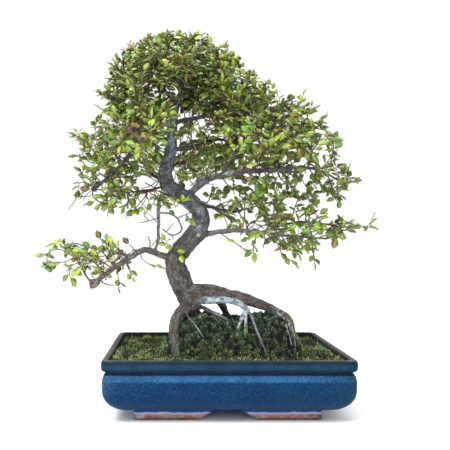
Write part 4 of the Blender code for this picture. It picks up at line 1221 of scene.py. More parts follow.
def moss_shade(x, y, cushion, draw):
    """How bright and how warm the moss is: dark and cool on the mound, yellow-green on the flats, with
    painted light and shade: bright up the cushions, dark between them and in two hollows.
    """
    mound = smooth_step(74.0, 90.0, ground(x, y))
    patch = noise.fractal(Vector((x, y, 20.0)) * 0.045, 1.0, 2.0, 3)
    small = noise.noise(Vector((x, y, 40.0)) * 0.22)
    # painted light and shade: brighter up each cushion, darker between cushions
    shade = 0.64 - 0.12 * mound + 0.75 * patch + 0.25 * small + 0.60 * (cushion - 0.55)
    # painted shade in the hollow at the foot of the left root
    shade -= 0.6 * smooth_step(13.0, 5.0, math.hypot(x + 58.0, y + 57.0))
    shade += draw.gauss(0.0, 0.12 + 0.17 * mound)
    warm = 0.85 - 0.75 * mound + (1.0 - 0.3 * mound) * patch
    if draw.random() < 0.03 + 0.05 * mound:
        return 1.0, 0.0
    shade += 0.05 * (1.0 - mound)
    if x > 84:
        shade += 0.16 * smooth_step(-10.0, -30.0, y) * smooth_step(112.0, 98.0, x) - 0.22
        shade += 0.35 * max(0.0, 1.0 - ((x - 128.0) / 18.0) ** 2 - ((y - 10.0) / 26.0) ** 2)
        # painted shade in a hollow by the back right of the mound
        shade -= 0.45 * max(0.0, 1.0 - ((x - 102.0) / 16.0) ** 2 - ((y - 44.0) / 24.0) ** 2)
        warm += 0.4
    return min(max(shade, 0.0), 1.0), min(max(warm, 0.0), 1.0)


def moss_cover(x, y):
    """Where moss grows: nearly everywhere on the mound, in patches on the bed."""
    mound = smooth_step(*MOUND_FOOT, ground(x, y))
    patch = noise.fractal(Vector((x, y, 60.0)) * 0.05, 1.0, 2.0, 3)
    return max(mound * 0.95, 0.74 + 1.1 * patch)


def make_moss(finish):
    """Cushions of little spikes over the soil and up the roots, painted bright on top and dark between
    as light and shade.
    """
    spike = spike_shape()
    draw = random.Random(5)
    regions = {"moss_on_mound": [], "moss_left": [], "moss_right": [], "moss_back": []}
    half_x = RIM_LENGTH / 2 - MOSS_MARGIN
    half_y = RIM_WIDTH / 2 - MOSS_MARGIN
    columns = int(2 * half_x / MOSS_SPACING)
    rows = int(2 * half_y / MOSS_SPACING)
    for cell in range(columns * rows):
        column, row = divmod(cell, rows)
        corner = (-half_x + column * MOSS_SPACING, -half_y + row * MOSS_SPACING)
        steepness = 1.0 / soil_slope(*corner)[2]
        raised = smooth_step(*MOUND_FOOT, ground(*corner))
        for _ in range(1 + round(1.6 * (steepness - 1.0) + 1.2 * raised)):
            x = -half_x + (column + draw.random()) * MOSS_SPACING
            y = -half_y + (row + draw.random()) * MOSS_SPACING
            if draw.random() > moss_cover(x, y):
                continue
            place, facing, cushion = soil_place(x, y)
            if cushion < 0.24 * smooth_step(*MOUND_FOOT, place[2]):
                continue
            lean = np.array((draw.gauss(0.0, 0.35), draw.gauss(0.0, 0.35), 0.25))
            wide = draw.uniform(1.8, 3.1) - 0.6 * raised
            wall = smooth_step(15.0, 2.0, min(half_x - abs(x), half_y - y))
            scale = np.array((wide, wide, draw.uniform(1.6, 4.0) * (1.0 - 0.2 * raised + 0.6 * wall)))
            shade, warm = moss_shade(x, y, cushion, draw)
            turn = turned(facing + lean, draw.uniform(0.0, FULL_TURN)) * scale
            if ground(x, y) > 76.0 and y < 30:
                region = "moss_on_mound"
            elif y > 30:
                region = "moss_back"
            else:
                region = "moss_left" if x < 0 else "moss_right"
            regions[region].append((turn, place - 0.5 * facing, shade, warm))
    regions["moss_on_roots"] = moss_on_roots(draw)
    for region, placements in regions.items():
        present(copies(region, spike, placements, ("shade", "warm")), finish, [], 20)


def moss_on_roots(draw):
    """Spikes round the knee of the right root and on the feet of the pale ones, where moss creeps up."""
    placements = []
    for name in ("right", "pale_left", "pale_middle"):
        line = smoothed(tapered(*ROOTS[name]), 12)
        for here, there in zip(line, line[1:]):
            cover = (smooth_step(74.0, 86.0, here[0]) if name == "right"
                     else smooth_step(112.0, 98.0, here[2]))
            way = unit(there[:3] - here[:3])
            side = unit(np.cross(way, UP))
            over = np.cross(side, way)
            for _ in range(26):
                angle = draw.uniform(0.0, FULL_TURN)
                outwards = side * math.cos(angle) + over * math.sin(angle)
                seen = 0.55 + 0.45 * outwards[0] + (0.3 if here[2] < 100 else 0.0)
                if draw.random() > 0.9 * cover * seen:
                    continue
                place = here[:3] + (there[:3] - here[:3]) * draw.random() + outwards * here[3] * 0.92
                wide = draw.uniform(1.6, 2.6)
                scale = np.array((wide, wide, draw.uniform(1.6, 3.0)))
                axis = outwards + np.array((draw.gauss(0.0, 0.3), draw.gauss(0.0, 0.3), 0.2))
                shade = min(max(0.5 + 0.25 * outwards[0] + draw.gauss(0.0, 0.14), 0.0), 1.0)
                placements.append((turned(axis, angle) * scale, place, shade, 0.9))
    return placements


def make_grit(finish):
    """Soil crumbs and pale stones that lie between the moss."""
    stone = grit_shape()
    draw = random.Random(6)
    placements = []
    while len(placements) < GRIT_COUNT:
        x = draw.uniform(-RIM_LENGTH / 2 + GRIT_MARGIN, RIM_LENGTH / 2 - GRIT_MARGIN)
        y = draw.uniform(-RIM_WIDTH / 2 + GRIT_MARGIN, RIM_WIDTH / 2 - GRIT_MARGIN)
        size = draw.uniform(0.9, 2.6)
        axis = (draw.gauss(0, 1), draw.gauss(0, 1), draw.gauss(0, 1))
        spin = draw.uniform(0.0, FULL_TURN)
        tone = draw.random()
        if draw.random() < moss_cover(x, y) * 0.8:
            continue
        turn = turned(np.array(axis), spin) * size
        placements.append((turn, soil_place(x, y)[0], tone ** 2))
    present(copies("soil_grit", stone, placements, ("shade",)), finish, [], 30)


# Wood

def tapered(start_radius, end_radius, points):
    """Points with a radius that falls evenly along the length."""
    lengths = [0.0]
    for here, there in zip(points, points[1:]):
        lengths.append(lengths[-1] + math.dist(here, there))
    return [(*point, start_radius + (end_radius - start_radius) * length / lengths[-1])
            for point, length in zip(points, lengths)]


def wood_lines():
    """Every root, bough and bare branch as a centre line with radii."""
    roots = [("root_" + name, tapered(*root)) for name, root in ROOTS.items()]
    boughs = [("bough_" + name, tapered(bough[0], bough[1], bough[5])) for name, bough in BOUGHS.items()]
    bare = [(name, tapered(*branch)) for name, branch in BARE_WOOD.items()]
    return roots, boughs, bare


def smoothed(line, steps):
    """A smooth curve through the rows of a line."""
    rows = np.array(line, float)
    padded = np.vstack((2 * rows[0] - rows[1], rows, 2 * rows[-1] - rows[-2]))
    made = []
    for index in range(1, len(padded) - 2):
        a, b, c, d = padded[index - 1:index + 3]
        for step in range(steps):
            t = step / steps
            made.append(0.5 * (2 * b + (c - a) * t + (2 * a - 5 * b + 4 * c - d) * t * t
                               + (3 * b - a - 3 * c + d) * t ** 3))
    made.append(rows[-1])
    return np.array(made)


def knobbly(line, amount, crook, seed):
    """A line whose radius and course vary a little, as wood's does."""
    made = np.array(line)
    for index, row in enumerate(made):
        at = Vector(row[:3]) * 0.07 + Vector((seed, 0.0, 0.0))
        made[index, :3] += np.array(noise.noise_vector(at)) * amount * row[3] * 0.22
        made[index, 3] *= 1.0 + amount * noise.noise(at * 1.7)
        made[index, :3] += np.array(noise.noise_vector(at * 1.3)) * crook
    return made


def grain_of(line):
    """For each row of a line: two directions across it, the direction along it and the length so far."""
    frames = []
    side = np.array((0.3, 0.9, 0.2))
    run = 0.0
    for index, row in enumerate(line):
        way = unit(line[min(index + 1, len(line) - 1)][:3] - line[max(index - 1, 0)][:3])
        side = unit(side - way * float(np.dot(side, way)))
        frames.append((np.array((side, np.cross(way, side), way)), run))
        if index < len(line) - 1:
            run += math.dist(row[:3], line[index + 1][:3])
    return frames


# How limed and how dead, dry and pale the wood is, by its name; boughs that stay pale where thin
LIME = {
    "root_pale": 1.0,
    "root_pale_front": 0.35,
    "root_pale_left": 1.0,
    "root_pale_middle": 0.9,
    "root_thin_front": 0.6,
    "root_low": 0.3,
    "root_right_drop": 0.4,
    "root_right_drop_left": 0.4,
}
DEAD = {
    "dead_branch": 1.0,
    "bough_end": 0.8,
    "sawn_stub": 0.6,
    "bough_lower_left": 0.45,
    "bough_lower_right": 0.50,
    "bough_upper_right": 0.22,
}
PALE_BOUGHS = ("bough_upper_right", "bough_lower_right", "bough_lower_left")


# Pale scars on the trunk, and painted highlights on the trunk and the upper right bough: place and reach
SCARS_AND_SHEEN = (
    ((-37, -19, 236), 8.0),
    ((-33, -19, 226), 6.0),
    # Painted highlights from here on: a pale sheen where light falls on the trunk and the bough
    ((-31, -20, 258), 8.0),
    ((-78, -5, 284), 7.0),
    ((-67, 0, 371), 10.0),
    ((-70, 0, 352), 6.0),
    ((6, -22, 308), 9.0),
    ((22, -25, 311), 7.0),
)


def wood_rows():
    """The centre lines as they are seen, each with a course and radius that vary as wood's do."""
    roots, boughs, bare = wood_lines()
    slim = {"root_" + name: tapered(*root) for name, root in SLIM_ROOTS.items()}
    lines = [("trunk", TRUNK)] + [(name, slim.get(name, line)) for name, line in roots] + boughs
    lines += [(name, line) for name, line in bare if name != "dead_curl"]
    lines += [(name, tapered(*row)) for name, *row in SWELLINGS]
    rows = []
    for number, (name, line) in enumerate(lines):
        amount = 0.12 if line[0][3] > 4.0 else 0.25
        crook = 1.5 if name.startswith("bough") else 0.0
        row = knobbly(smoothed(line, 6), amount, crook, number * 3.1)
        if name in BARE_WOOD:
            row[:, 3] += 0.3
        rows.append((name, row))
    return rows


def wood_skin(rows):
    """One skin over all the wood, its joins settled."""
    wood = tubes("elm_wood", [line for _, line in rows], 5)
    skin = wood.modifiers.new("Skin", "REMESH")
    skin.mode = "VOXEL"
    skin.voxel_size = 1.0 * MM
    settle = wood.modifiers.new("Settle", "SMOOTH")
    settle.factor = 0.5
    settle.iterations = 2
    fewer = wood.modifiers.new("Fewer", "DECIMATE")
    fewer.ratio = 0.62
    apply_modifiers(wood)
    return wood


def pale_spots(name, place):
    """How pale a place is made by scars, by a painted sheen where light falls, and by worn or flaking
    spots.
    """
    def worn(low, high, scale):
        return smooth_step(low, high, noise.noise(place * scale))

    if name == "root_right":
        return 0.9 * worn(0.05, 0.35, 0.35) * smooth_step(60.0, 76.0, place.x)
    if name == "root_left":
        return 0.45 * worn(0.15, 0.45, 0.5) * smooth_step(105.0, 85.0, place.z)
    if name in ("trunk", "bough_upper_right"):
        scar_and_sheen = max(1.0 - math.dist(place, spot) / reach for spot, reach in SCARS_AND_SHEEN)
        return smooth_step(0.0, 0.6, scar_and_sheen) * worn(-0.25, 0.15, 0.4)
    return 0.0


def give_bark(wood, rows):
    """Raises plates and ridges on the skin, and notes where the bark is limed or scarred, where it has a
    painted pale sheen, and where it is dead or thin.
    """
    samples = [(row, name) for name, line in rows for row in line]
    frames = [each for _, line in rows for each in grain_of(line)]
    tree = kdtree.KDTree(len(samples))
    for index, (row, _) in enumerate(samples):
        tree.insert(Vector(row[:3]), index)
    tree.balance()
    values = []
    grain = []
    normals = [vertex.normal.copy() for vertex in wood.data.vertices]
    for vertex, normal in zip(wood.data.vertices, normals):
        place = (vertex.co - MIDDLE) / MM
        found = tree.find_n(place, 14)
        nearest = min((distance - samples[index][0][3], index) for _, index, distance in found)[1]
        row, name = samples[nearest]
        across, other, run = frames[nearest][0] @ (np.array(place) - row[:3])
        run += frames[nearest][1]
        grain.append((across, other, 0.40 * run))
        thick = min(row[3] / 12.0, 1.0)
        plates = noise.fractal(place * 0.16, 1.0, 2.0, 4)
        ridges = abs(noise.noise(Vector((across, other, 0.4 * run)) * 0.50))
        vertex.co += normal * ((0.65 * plates * thick + 0.25 * plates - 0.9 * ridges * thick + 0.2) * MM)
        limed = LIME.get(name, 0.0) * smooth_step(-40.0, -20.0, place.x - 0.6 * (place.z - 120.0) + 8.0)
        dried = DEAD.get(name, 0.0)
        dark = 0.0 if name.startswith("root") else 0.25 if name in PALE_BOUGHS else 1.0
        thin = dark * smooth_step(4.4, 2.4, row[3]) * (1.0 - dried)
        values.append((max(limed, pale_spots(name, place)), dried, thin))
    for attribute, column in zip(("lime", "dead", "thin"), zip(*values)):
        set_attribute(wood, attribute, column)
    set_grain(wood, np.array(grain) * MM)


def make_wood(finish):
    """Trunk, roots and boughs, grown into one skin, then given bark, and the thin bare twigs."""
    rows = wood_rows()
    wood = wood_skin(rows)
    give_bark(wood, rows)
    present(wood, finish, ["trunk"])
    lines = [knobbly(smoothed(tapered(*twig), 5), 0.3, 1.2, number * 3.1)
             for number, twig in enumerate(BARE_TWIGS)]
    twigs = tubes("bare_twigs", lines, 1)
    set_attribute(twigs, "dead", [0.55] * len(twigs.data.vertices))
    set_grain(twigs, np.array([tuple(vertex.co) for vertex in twigs.data.vertices]))
    present(twigs, finish, ["trunk"])


# Growth of the sprays

class Bud:
    """Where a spray starts on its bough, and the way it sets out."""

    def __init__(self, name, place, heading, radius):
        self.name = name
        self.place = place
        self.heading = heading
        self.radius = radius


def along(points, share):
    """The point and direction at a part of a line's length."""
    lengths = [math.dist(here, there) for here, there in zip(points, points[1:])]
    left = share * sum(lengths)
    for index, length in enumerate(lengths):
        if left <= length or index == len(lengths) - 1:
            here = np.array(points[index], float)
            there = np.array(points[index + 1], float)
            return here + (there - here) * min(left / length, 1.0), unit(there - here)
        left -= length


def make_buds():
    """Buds at even distances along each bough, to its two sides in turn, and one on its tip."""
    buds = []
    for bough, (start_radius, end_radius, first, count, on_tip, points) in BOUGHS.items():
        for index in range(count):
            name = f"spray_{bough}_{index + 1}"
            share = first + (0.97 - first) * index / max(count - 1, 1)
            if index == count - 1 and on_tip:
                tip, heading = along(points, 1.0)
                buds.append(Bud(name, tip + heading * GAP, heading, end_radius))
                continue
            place, direction = along(points, share)
            radius = between(start_radius, end_radius, share)
            side = unit(np.cross(direction, UP)) * (1.0 if index % 2 else -1.0)
            heading = unit(side + 0.55 * UP)
            heading = unit(heading - direction * float(np.dot(heading, direction)))
            buds.append(Bud(name, place + heading * (radius + GAP), heading, radius))
    return buds


def inside_ellipsoid(point, centre, half_sizes):
    return sum(((p - c) / h) ** 2 for p, c, h in zip(point, centre, half_sizes)) < 1.0


def wood_arrays():
    """The ends and radii of every piece of wood, for distances to it."""
    roots, boughs, bare = wood_lines()
    lines = [TRUNK] + [line for _, line in roots + boughs + bare]
    starts = np.array([line[i] for line in lines for i in range(len(line) - 1)], float)
    ends = np.array([line[i + 1] for line in lines for i in range(len(line) - 1)], float)
    return starts, ends


def wood_distance(point, starts, ends):
    """Distance from a point to the surface of the nearest wood."""
    run = ends[:, :3] - starts[:, :3]
    share = np.sum((point - starts[:, :3]) * run, axis=1) / np.sum(run * run, axis=1)
    share = np.clip(share, 0.0, 1.0)
    nearest = starts[:, :3] + run * share[:, None]
    radius = starts[:, 3] + (ends[:, 3] - starts[:, 3]) * share
    return float(np.min(np.linalg.norm(nearest - point, axis=1) - radius))


def pad_points(starts, ends):
    """Points spread through the pads, denser towards their outside, that the twigs reach for."""
    draw = random.Random(SEED)
    points = []
    for centre, half_sizes, count in PADS:
        made = 0
        while made < count:
            way = unit(np.array([draw.gauss(0.0, 1.0) for _ in range(3)]))
            depth = draw.random() ** 0.42
            point = np.array(centre, float) + way * depth * np.array(half_sizes, float)
            made += 1
            if any(inside_ellipsoid(point, *clearing) for clearing in CLEARINGS):
                continue
            if wood_distance(point, starts, ends) > WOOD_CLEARANCE + 2.0:
                points.append(point)
    return np.array(points)


class Twigs:
    """The joints of all twigs: where each is, what it grew from and which spray it belongs to."""

    def __init__(self, targets):
        self.places = []
        self.parents = []
        self.sprays = []
        self.children = []
        self.targets = targets
        self.nearest = np.full(len(targets), -1)
        self.distance = np.full(len(targets), np.inf)

    def add(self, place, parent, spray):
        joint = len(self.places)
        self.places.append(place)
        self.parents.append(parent)
        self.sprays.append(spray)
        self.children.append([])
        if parent >= 0:
            self.children[parent].append(joint)
        away = np.linalg.norm(self.targets - place, axis=1)
        closer = away < self.distance
        self.nearest[closer] = joint
        self.distance[closer] = away[closer]

    def heading(self, joint):
        """The direction in which a joint grew."""
        parent = self.parents[joint]
        if parent < 0:
            return unit(self.places[self.children[joint][0]] - self.places[joint])
        return unit(self.places[joint] - self.places[parent])


def grow(buds):
    """Grows all sprays together, so that each reaches only for the points that it is nearest to."""
    starts, ends = wood_arrays()
    twigs = Twigs(pad_points(starts, ends))
    for spray, bud in enumerate(buds):
        twigs.add(bud.place, -1, spray)
        twigs.add(bud.place + bud.heading * FIRST_STEP, len(twigs.places) - 1, spray)
    for _ in range(ROUNDS):
        pulls = {}
        for target in np.nonzero((twigs.distance > REACHED) & (twigs.distance < SIGHT))[0]:
            pulls.setdefault(int(twigs.nearest[target]), []).append(target)
        if not pulls:
            break
        for joint in sorted(pulls):
            if twigs.parents[joint] < 0 or len(twigs.children[joint]) >= MOST_CHILDREN:
                twigs.distance[pulls[joint]] = 0.0
                continue
            here = twigs.places[joint]
            pull = sum(unit(twigs.targets[target] - here) for target in pulls[joint])
            way = unit(unit(pull) + STRAIGHTNESS * twigs.heading(joint) + LIFT * UP)
            place = here + way * STEP
            grown = [twigs.places[child] for child in twigs.children[joint]]
            crowded = any(math.dist(place, each) < 0.6 * STEP for each in grown)
            if crowded or wood_distance(place, starts, ends) < WOOD_CLEARANCE:
                twigs.distance[pulls[joint]] = 0.0
                continue
            twigs.add(place, joint, twigs.sprays[joint])
    return twigs


class Leaf:
    """A leaf's place on its twig, direction, upper side, length and what colours it."""

    def __init__(self, place, heading, facing, length, tip, tint):
        self.place = place
        self.heading = heading
        self.facing = facing
        self.length = length
        self.tip = tip
        self.tint = tint


def make_leaf(draw, place, along_twig, turn, tip, tint=None):
    """A leaf that leaves its twig at an angle, turned about it, with its upper side up and outwards."""
    spread = turn * (LEAF_SPREAD + draw.uniform(-0.25, 0.25))
    high = smooth_step(290.0, 350.0, place[2])
    rise = draw.uniform(-0.40, 0.25) + 0.16 * high
    across = side_of(along_twig)
    heading = unit(along_twig * math.cos(spread) + across * math.sin(spread) + UP * rise)
    outwards = unit(np.array((0.5 * (place[0] + 40.0), 1.5 * place[1], 0.0)))
    low = 1.0 - smooth_step(360.0, 420.0, place[2])
    facing = (0.75 + 0.20 * high) * UP + (0.75 - 0.25 * low) * outwards
    facing = unit(facing + (0.75 + 0.20 * low) * scatter(draw))
    facing = unit(facing - heading * float(np.dot(facing, heading)))
    size = 0.96 - 0.15 * smooth_step(320.0, 420.0, place[2])
    return Leaf(place, heading, facing, size * draw.uniform(*LEAF_LENGTH), tip, tint)


def leafy_shoot(draw, place, way, length, radius, leaves_from=0.0):
    """A short twig that wanders a little, as a line with radii, and the leaves on it."""
    steps = max(2, round(length / 4.5))
    line = [(*place, radius)]
    leaves = []
    for step in range(steps):
        way = unit(way + scatter(draw, 0.34) + 0.05 * UP)
        place = place + way * length / steps
        share = (step + 1) / steps
        line.append((*place, radius * (1.0 - 0.35 * share)))
        last = step == steps - 1
        turn = 0.15 if last else (1.0 if step % 2 else -1.0)
        if share >= leaves_from:
            leaves.append(make_leaf(draw, place, way, turn, 1.0 if last else 0.5))
    return line, leaves


def trim(twigs):
    """Cuts the highest twigs back to the rounded top; gives the joints that are left."""
    kept = set()
    for joint, place in enumerate(twigs.places):
        parent = twigs.parents[joint]
        above = place[2] > TRIMMED_ABOVE and not inside_ellipsoid(place, *TRIMMED)
        if not above and (parent < 0 or parent in kept):
            kept.add(joint)
    twigs.children = [[child for child in children if child in kept] for children in twigs.children]
    return kept


def stands_out(end):
    """Whether the end of a leaf or shoot of the top reaches far out of the rounded outline."""
    centre, half_sizes = TRIMMED
    outline = [half + 8.0 for half in half_sizes]
    return end[2] > TRIMMED_ABOVE and not inside_ellipsoid(end, centre, outline)


def sight_lines():
    """The stretches of bough that are kept in sight from the front, as rows of place and radius."""
    rows = []
    for bough, low, high in IN_SIGHT:
        start_radius, end_radius = BOUGHS[bough][:2]
        for step in range(41):
            share = low + (high - low) * step / 40
            place, _ = along(BOUGHS[bough][5], share)
            rows.append((*place, between(start_radius, end_radius, share)))
    return np.array(rows)


def pinched_out(leaf, sights):
    """Whether a leaf hides one of those stretches from a viewer in front of the tree."""
    middle = leaf.place + 0.5 * leaf.length * leaf.heading - VIEWER
    rows = sights[:, :3] - VIEWER
    beside = rows[:, [0, 2]] * (middle[1] / rows[:, 1])[:, None] - middle[[0, 2]]
    in_front = middle[1] < rows[:, 1] + 2.0
    close = np.linalg.norm(beside, axis=1) < sights[:, 3] + 3.5
    return bool(np.any(in_front & close))


def leaves_of(spray, joints, twigs):
    """Three leaves on each tip, and leaves to alternate sides along the thin twigs."""
    draw = random.Random(SEED * 1000 + spray)
    leaves = []
    for joint in joints[2:]:
        children = len(twigs.children[joint])
        heading = twigs.heading(joint)
        if children == 0:
            for back, turn in TIP_LEAVES:
                place = twigs.places[joint] - heading * back
                leaves.append(make_leaf(draw, place, heading, turn, 1.0))
        elif children == 1 and draw.random() < 0.85:
            turn = 1.0 if joint % 2 else -1.0
            leaves.append(make_leaf(draw, twigs.places[joint], heading, turn, 0.0))
    return leaves


def beside_trunk(place):
    """Nought far from the trunk and below the boughs, one close to it among them."""
    return smooth_step(130.0, 50.0, abs(place[0] + 50.0)) * smooth_step(275.0, 310.0, place[2])


def shoots_at(place):
    """How many side shoots a joint of the twigs carries: most in the crown and beside the trunk."""
    crown = 2.5 * smooth_step(345.0, 410.0, place[2])
    return 0.28 + crown + 1.7 * beside_trunk(place) + 2.2 * in_hollow(place)


def shoots_of(spray, joints, twigs):
    """Short side shoots along the twigs, turned about them."""
    draw = random.Random(SEED * 2000 + spray)
    shoots = []
    for joint in joints[2:]:
        place = twigs.places[joint]
        heading = twigs.heading(joint)
        side = side_of(heading)
        start = draw.uniform(0.0, FULL_TURN)
        for number in range(int(shoots_at(place) + draw.random())):
            if not twigs.children[joint]:
                continue
            angle = start + 2.4 * number
            outwards = side * math.cos(angle) + 0.7 * np.cross(side, heading) * math.sin(angle)
            way = unit(heading * 0.7 + outwards + UP * draw.uniform(-0.2, 0.35))
            bare_share = 0.12 + 0.16 * beside_trunk(place) * smooth_step(400.0, 360.0, place[2])
            leaves_from = 2.0 if draw.random() < bare_share else 0.0
            length = draw.uniform(*SHOOT_LENGTH)
            shoots.append(leafy_shoot(draw, place, way, length, 0.48, leaves_from))
    return shoots


def bough_shoots(buds):
    """Shoots all round each bough, and some that hang from it, by the spray that they go with."""
    starts, ends = wood_arrays()
    shoots = {}

    def add(draw, bough, place, base, way, reach, radius, leaves_from):
        """Adds a shoot that ends clear of the wood to the nearest spray of its bough."""
        owners = [bud for bud in buds if bud.name[6:-2] == bough and bud.name in NODES]
        if owners and wood_distance(place + way * reach, starts, ends) >= 5.0:
            owner = min(owners, key=lambda bud: math.dist(bud.place, base))
            shoot = leafy_shoot(draw, base, way, reach, radius, leaves_from)
            shoots.setdefault(owner.name, []).append(shoot)

    for number, (bough, (start_radius, end_radius, first, _, _, points)) in enumerate(BOUGHS.items()):
        draw = random.Random(SEED * 4000 + number)
        length = sum(math.dist(here, there) for here, there in zip(points, points[1:]))
        begin = first if points[0][2] < 235 else 0.12 * first
        for step in range(int(length * (1.0 - begin) / BOUGH_SHOOT_SPACING)):
            share = min(begin + (step + draw.random()) * BOUGH_SHOOT_SPACING / length, 1.0)
            place, direction = along(points, share)
            angle = draw.uniform(0.0, FULL_TURN)
            side = unit(np.cross(direction, UP))
            outwards = side * math.cos(angle) + np.cross(side, direction) * math.sin(angle)
            way = unit(outwards + 0.35 * direction + 0.1 * UP)
            reach = draw.uniform(*BOUGH_SHOOT_LENGTH)
            leaves_from = draw.uniform(0.2, 0.6) if draw.random() < 0.80 else 2.0
            base = place + outwards * 0.7 * between(start_radius, end_radius, share)
            add(draw, bough, place, base, way, reach, 0.75, leaves_from)
    draw = random.Random(SEED * 5000)
    for rows, sideways, fall, leaves_from in ((HANGING, 0.7, -1.0, 0.3), (CROOKED, 1.0, 0.0, 0.9)):
        for bough, low, high, count in rows:
            for index in range(count):
                share = low + (high - low) * (index + draw.random()) / count
                place, direction = along(BOUGHS[bough][5], share)
                way = unit(sideways * scatter(draw) + fall * UP + 0.3 * direction)
                add(draw, bough, place, place, way, draw.uniform(18.0, 42.0), 0.8, leaves_from)
    return shoots


def lone_shoots():
    """The shoots that are placed one by one, with a leaf at each point of their line, by spray."""
    shoots = {}
    draw = random.Random(SEED)
    for name, tint, points in LONE_SHOOTS:
        places = [np.array(point, float) for point in points]
        line = [(*place, 0.6 - 0.25 * index / len(places)) for index, place in enumerate(places)]
        leaves = []
        for index in range(1, len(places)):
            way = unit(places[index] - places[index - 1])
            at_end = index == len(places) - 1
            for turn in (0.1, 0.9, -0.9) if at_end else (1.0,) if index % 2 else (-1.0,):
                own_tint = tint + draw.uniform(-0.06, 0.06)
                leaves.append(make_leaf(draw, places[index], way, turn, 1.0, own_tint))
        shoots.setdefault(name, []).append((line, leaves))
    return shoots


def twig_lines(joints, twigs, bud):
    """The spray's twigs as lines with radii, each from where it leaves its parent to its tip."""
    size = {}
    radius = {}
    for joint in reversed(joints):
        children = twigs.children[joint]
        size[joint] = 1 + sum(size[child] for child in children)
        flow = sum(radius[child] ** TWIG_POWER for child in children)
        radius[joint] = min(max(flow ** (1.0 / TWIG_POWER), TWIG_TIP) * 1.012, TWIG_MOST)
    lines = []
    waiting = [(None, joints[0])]
    while waiting:
        below, joint = waiting.pop()
        path = [joint] if below is None else [below, joint]
        while twigs.children[path[-1]]:
            children = sorted(twigs.children[path[-1]], key=lambda child: -size[child])
            waiting += [(path[-1], child) for child in children[1:]]
            path.append(children[0])
        line = [(*twigs.places[each], radius[each]) for each in path]
        if below is not None:
            line[0] = (*line[0][:3], line[1][3])
        else:
            sunk = bud.place - bud.heading * (0.8 * bud.radius + GAP)
            line.insert(0, (*sunk, radius[joint] * 1.25))
        lines.append(line)
    return lines


def leaf_shape():
    """One elm leaf, its blade one unit long: a folded oval with a stalk, closed on both sides."""
    rows = len(LEAF_STATIONS) - 1
    bpy.ops.mesh.primitive_grid_add(x_subdivisions=2, y_subdivisions=rows, size=1.0)
    leaf = bpy.context.object
    leaf.data.uv_layers[0].name = "leaf_map"
    only(leaf)
    for vertex in leaf.data.vertices:
        share = LEAF_STATIONS[round((vertex.co.y + 0.5) * rows)]
        width = math.sin(math.pi * share ** 0.95) ** 0.82 if 0.0 < share < 1.0 else 0.07
        across = vertex.co.x * 2.0
        vertex.co.x = across * width * LEAF_WIDTH / 2
        vertex.co.y = share
        vertex.co.z = -0.11 * share ** 2 + 0.07 * abs(across) * width
    edit(leaf, "FACE")
    select_all()
    bpy.ops.mesh.duplicate()
    bpy.ops.mesh.flip_normals()
    work = bmesh.from_edit_mesh(leaf.data)
    for vertex in work.verts:
        if vertex.select and abs(vertex.co.x) < 1e-6 and -0.01 < vertex.co.y < 0.99:
            vertex.co.z -= 0.045
    bmesh.update_edit_mesh(leaf.data)
    select_all()
    bpy.ops.mesh.remove_doubles(threshold=1e-6)
    done()
    layer = leaf.data.uv_layers[0].data
    uvs = np.array([tuple(layer[loop].uv) for f in leaf.data.polygons for loop in f.loop_indices])
    return (*take_shape(leaf), uvs)


def in_hollow(place):
    """One in the hollow on the left of the crown, nought outside it."""
    return smooth_step(1.0, 0.6, math.dist(place, CROWN_HOLLOW) / HOLLOW_REACH)


def thinned_out(leaf, draw):
    """Fewer leaves in the pads on the left and in a hollow of the crown, where more twigs show."""
    x, _, z = leaf.place
    share = 0.16 * smooth_step(-75.0, -110.0, x) * smooth_step(420.0, 380.0, z)
    return draw.random() < max(share, 0.75 * in_hollow(leaf.place))


def tint_of(leaf, draw):
    """A leaf's place between dark and yellow green: brighter at tips, darker inside the crown as painted
    shade.
    """
    x, y, z = leaf.place
    tint = 0.43 + 0.08 * leaf.tip + draw.gauss(0.0, 0.19)
    # painted shade: leaves darker towards the inside of the crown, most high in the crown
    inner = 1.0 - min(math.hypot(x + 50.0, y) / 120.0, 1.0)
    tint -= (0.01 + 0.17 * smooth_step(360.0, 410.0, z)) * inner
    tint += 0.12 * beside_trunk(leaf.place) * smooth_step(400.0, 360.0, z)
    tint -= 0.09 * smooth_step(40.0, 90.0, x) * smooth_step(280.0, 310.0, z)
    tint -= 0.01 * smooth_step(-70.0, -110.0, x) * smooth_step(290.0, 320.0, z)
    tint += 0.05 * smooth_step(-20.0, 20.0, x) * smooth_step(290.0, 270.0, z)
    if z < 250 and x < -90:
        tint += 0.08
    tint = min(tint, 0.84)
    if draw.random() < 0.010:
        tint = draw.uniform(0.88, 1.0)
    return min(max(leaf.tint or tint, 0.0), 1.0)


def cool_of(leaf, draw):
    """How blue-green a leaf is: about a third of them, and all a little more low on the right."""
    x, _, z = leaf.place
    here = smooth_step(-30.0, 40.0, x) * smooth_step(330.0, 285.0, z)
    plain = draw.uniform(0.0, 0.10) if draw.random() < 0.62 else draw.uniform(0.35, 0.80)
    return min(here * draw.uniform(0.0, 0.12) + plain, 0.85)


def rust_of(leaf, draw):
    """How red-brown a leaf is: more are at the tips of twigs and at the far right."""
    if leaf.tint:
        return 0.0
    x = leaf.place[0]
    chance = 0.08 + 0.08 * leaf.tip + 0.20 * smooth_step(80.0, 150.0, x)
    return draw.uniform(0.25, 0.8) if draw.random() < chance else draw.uniform(0.0, 0.12)


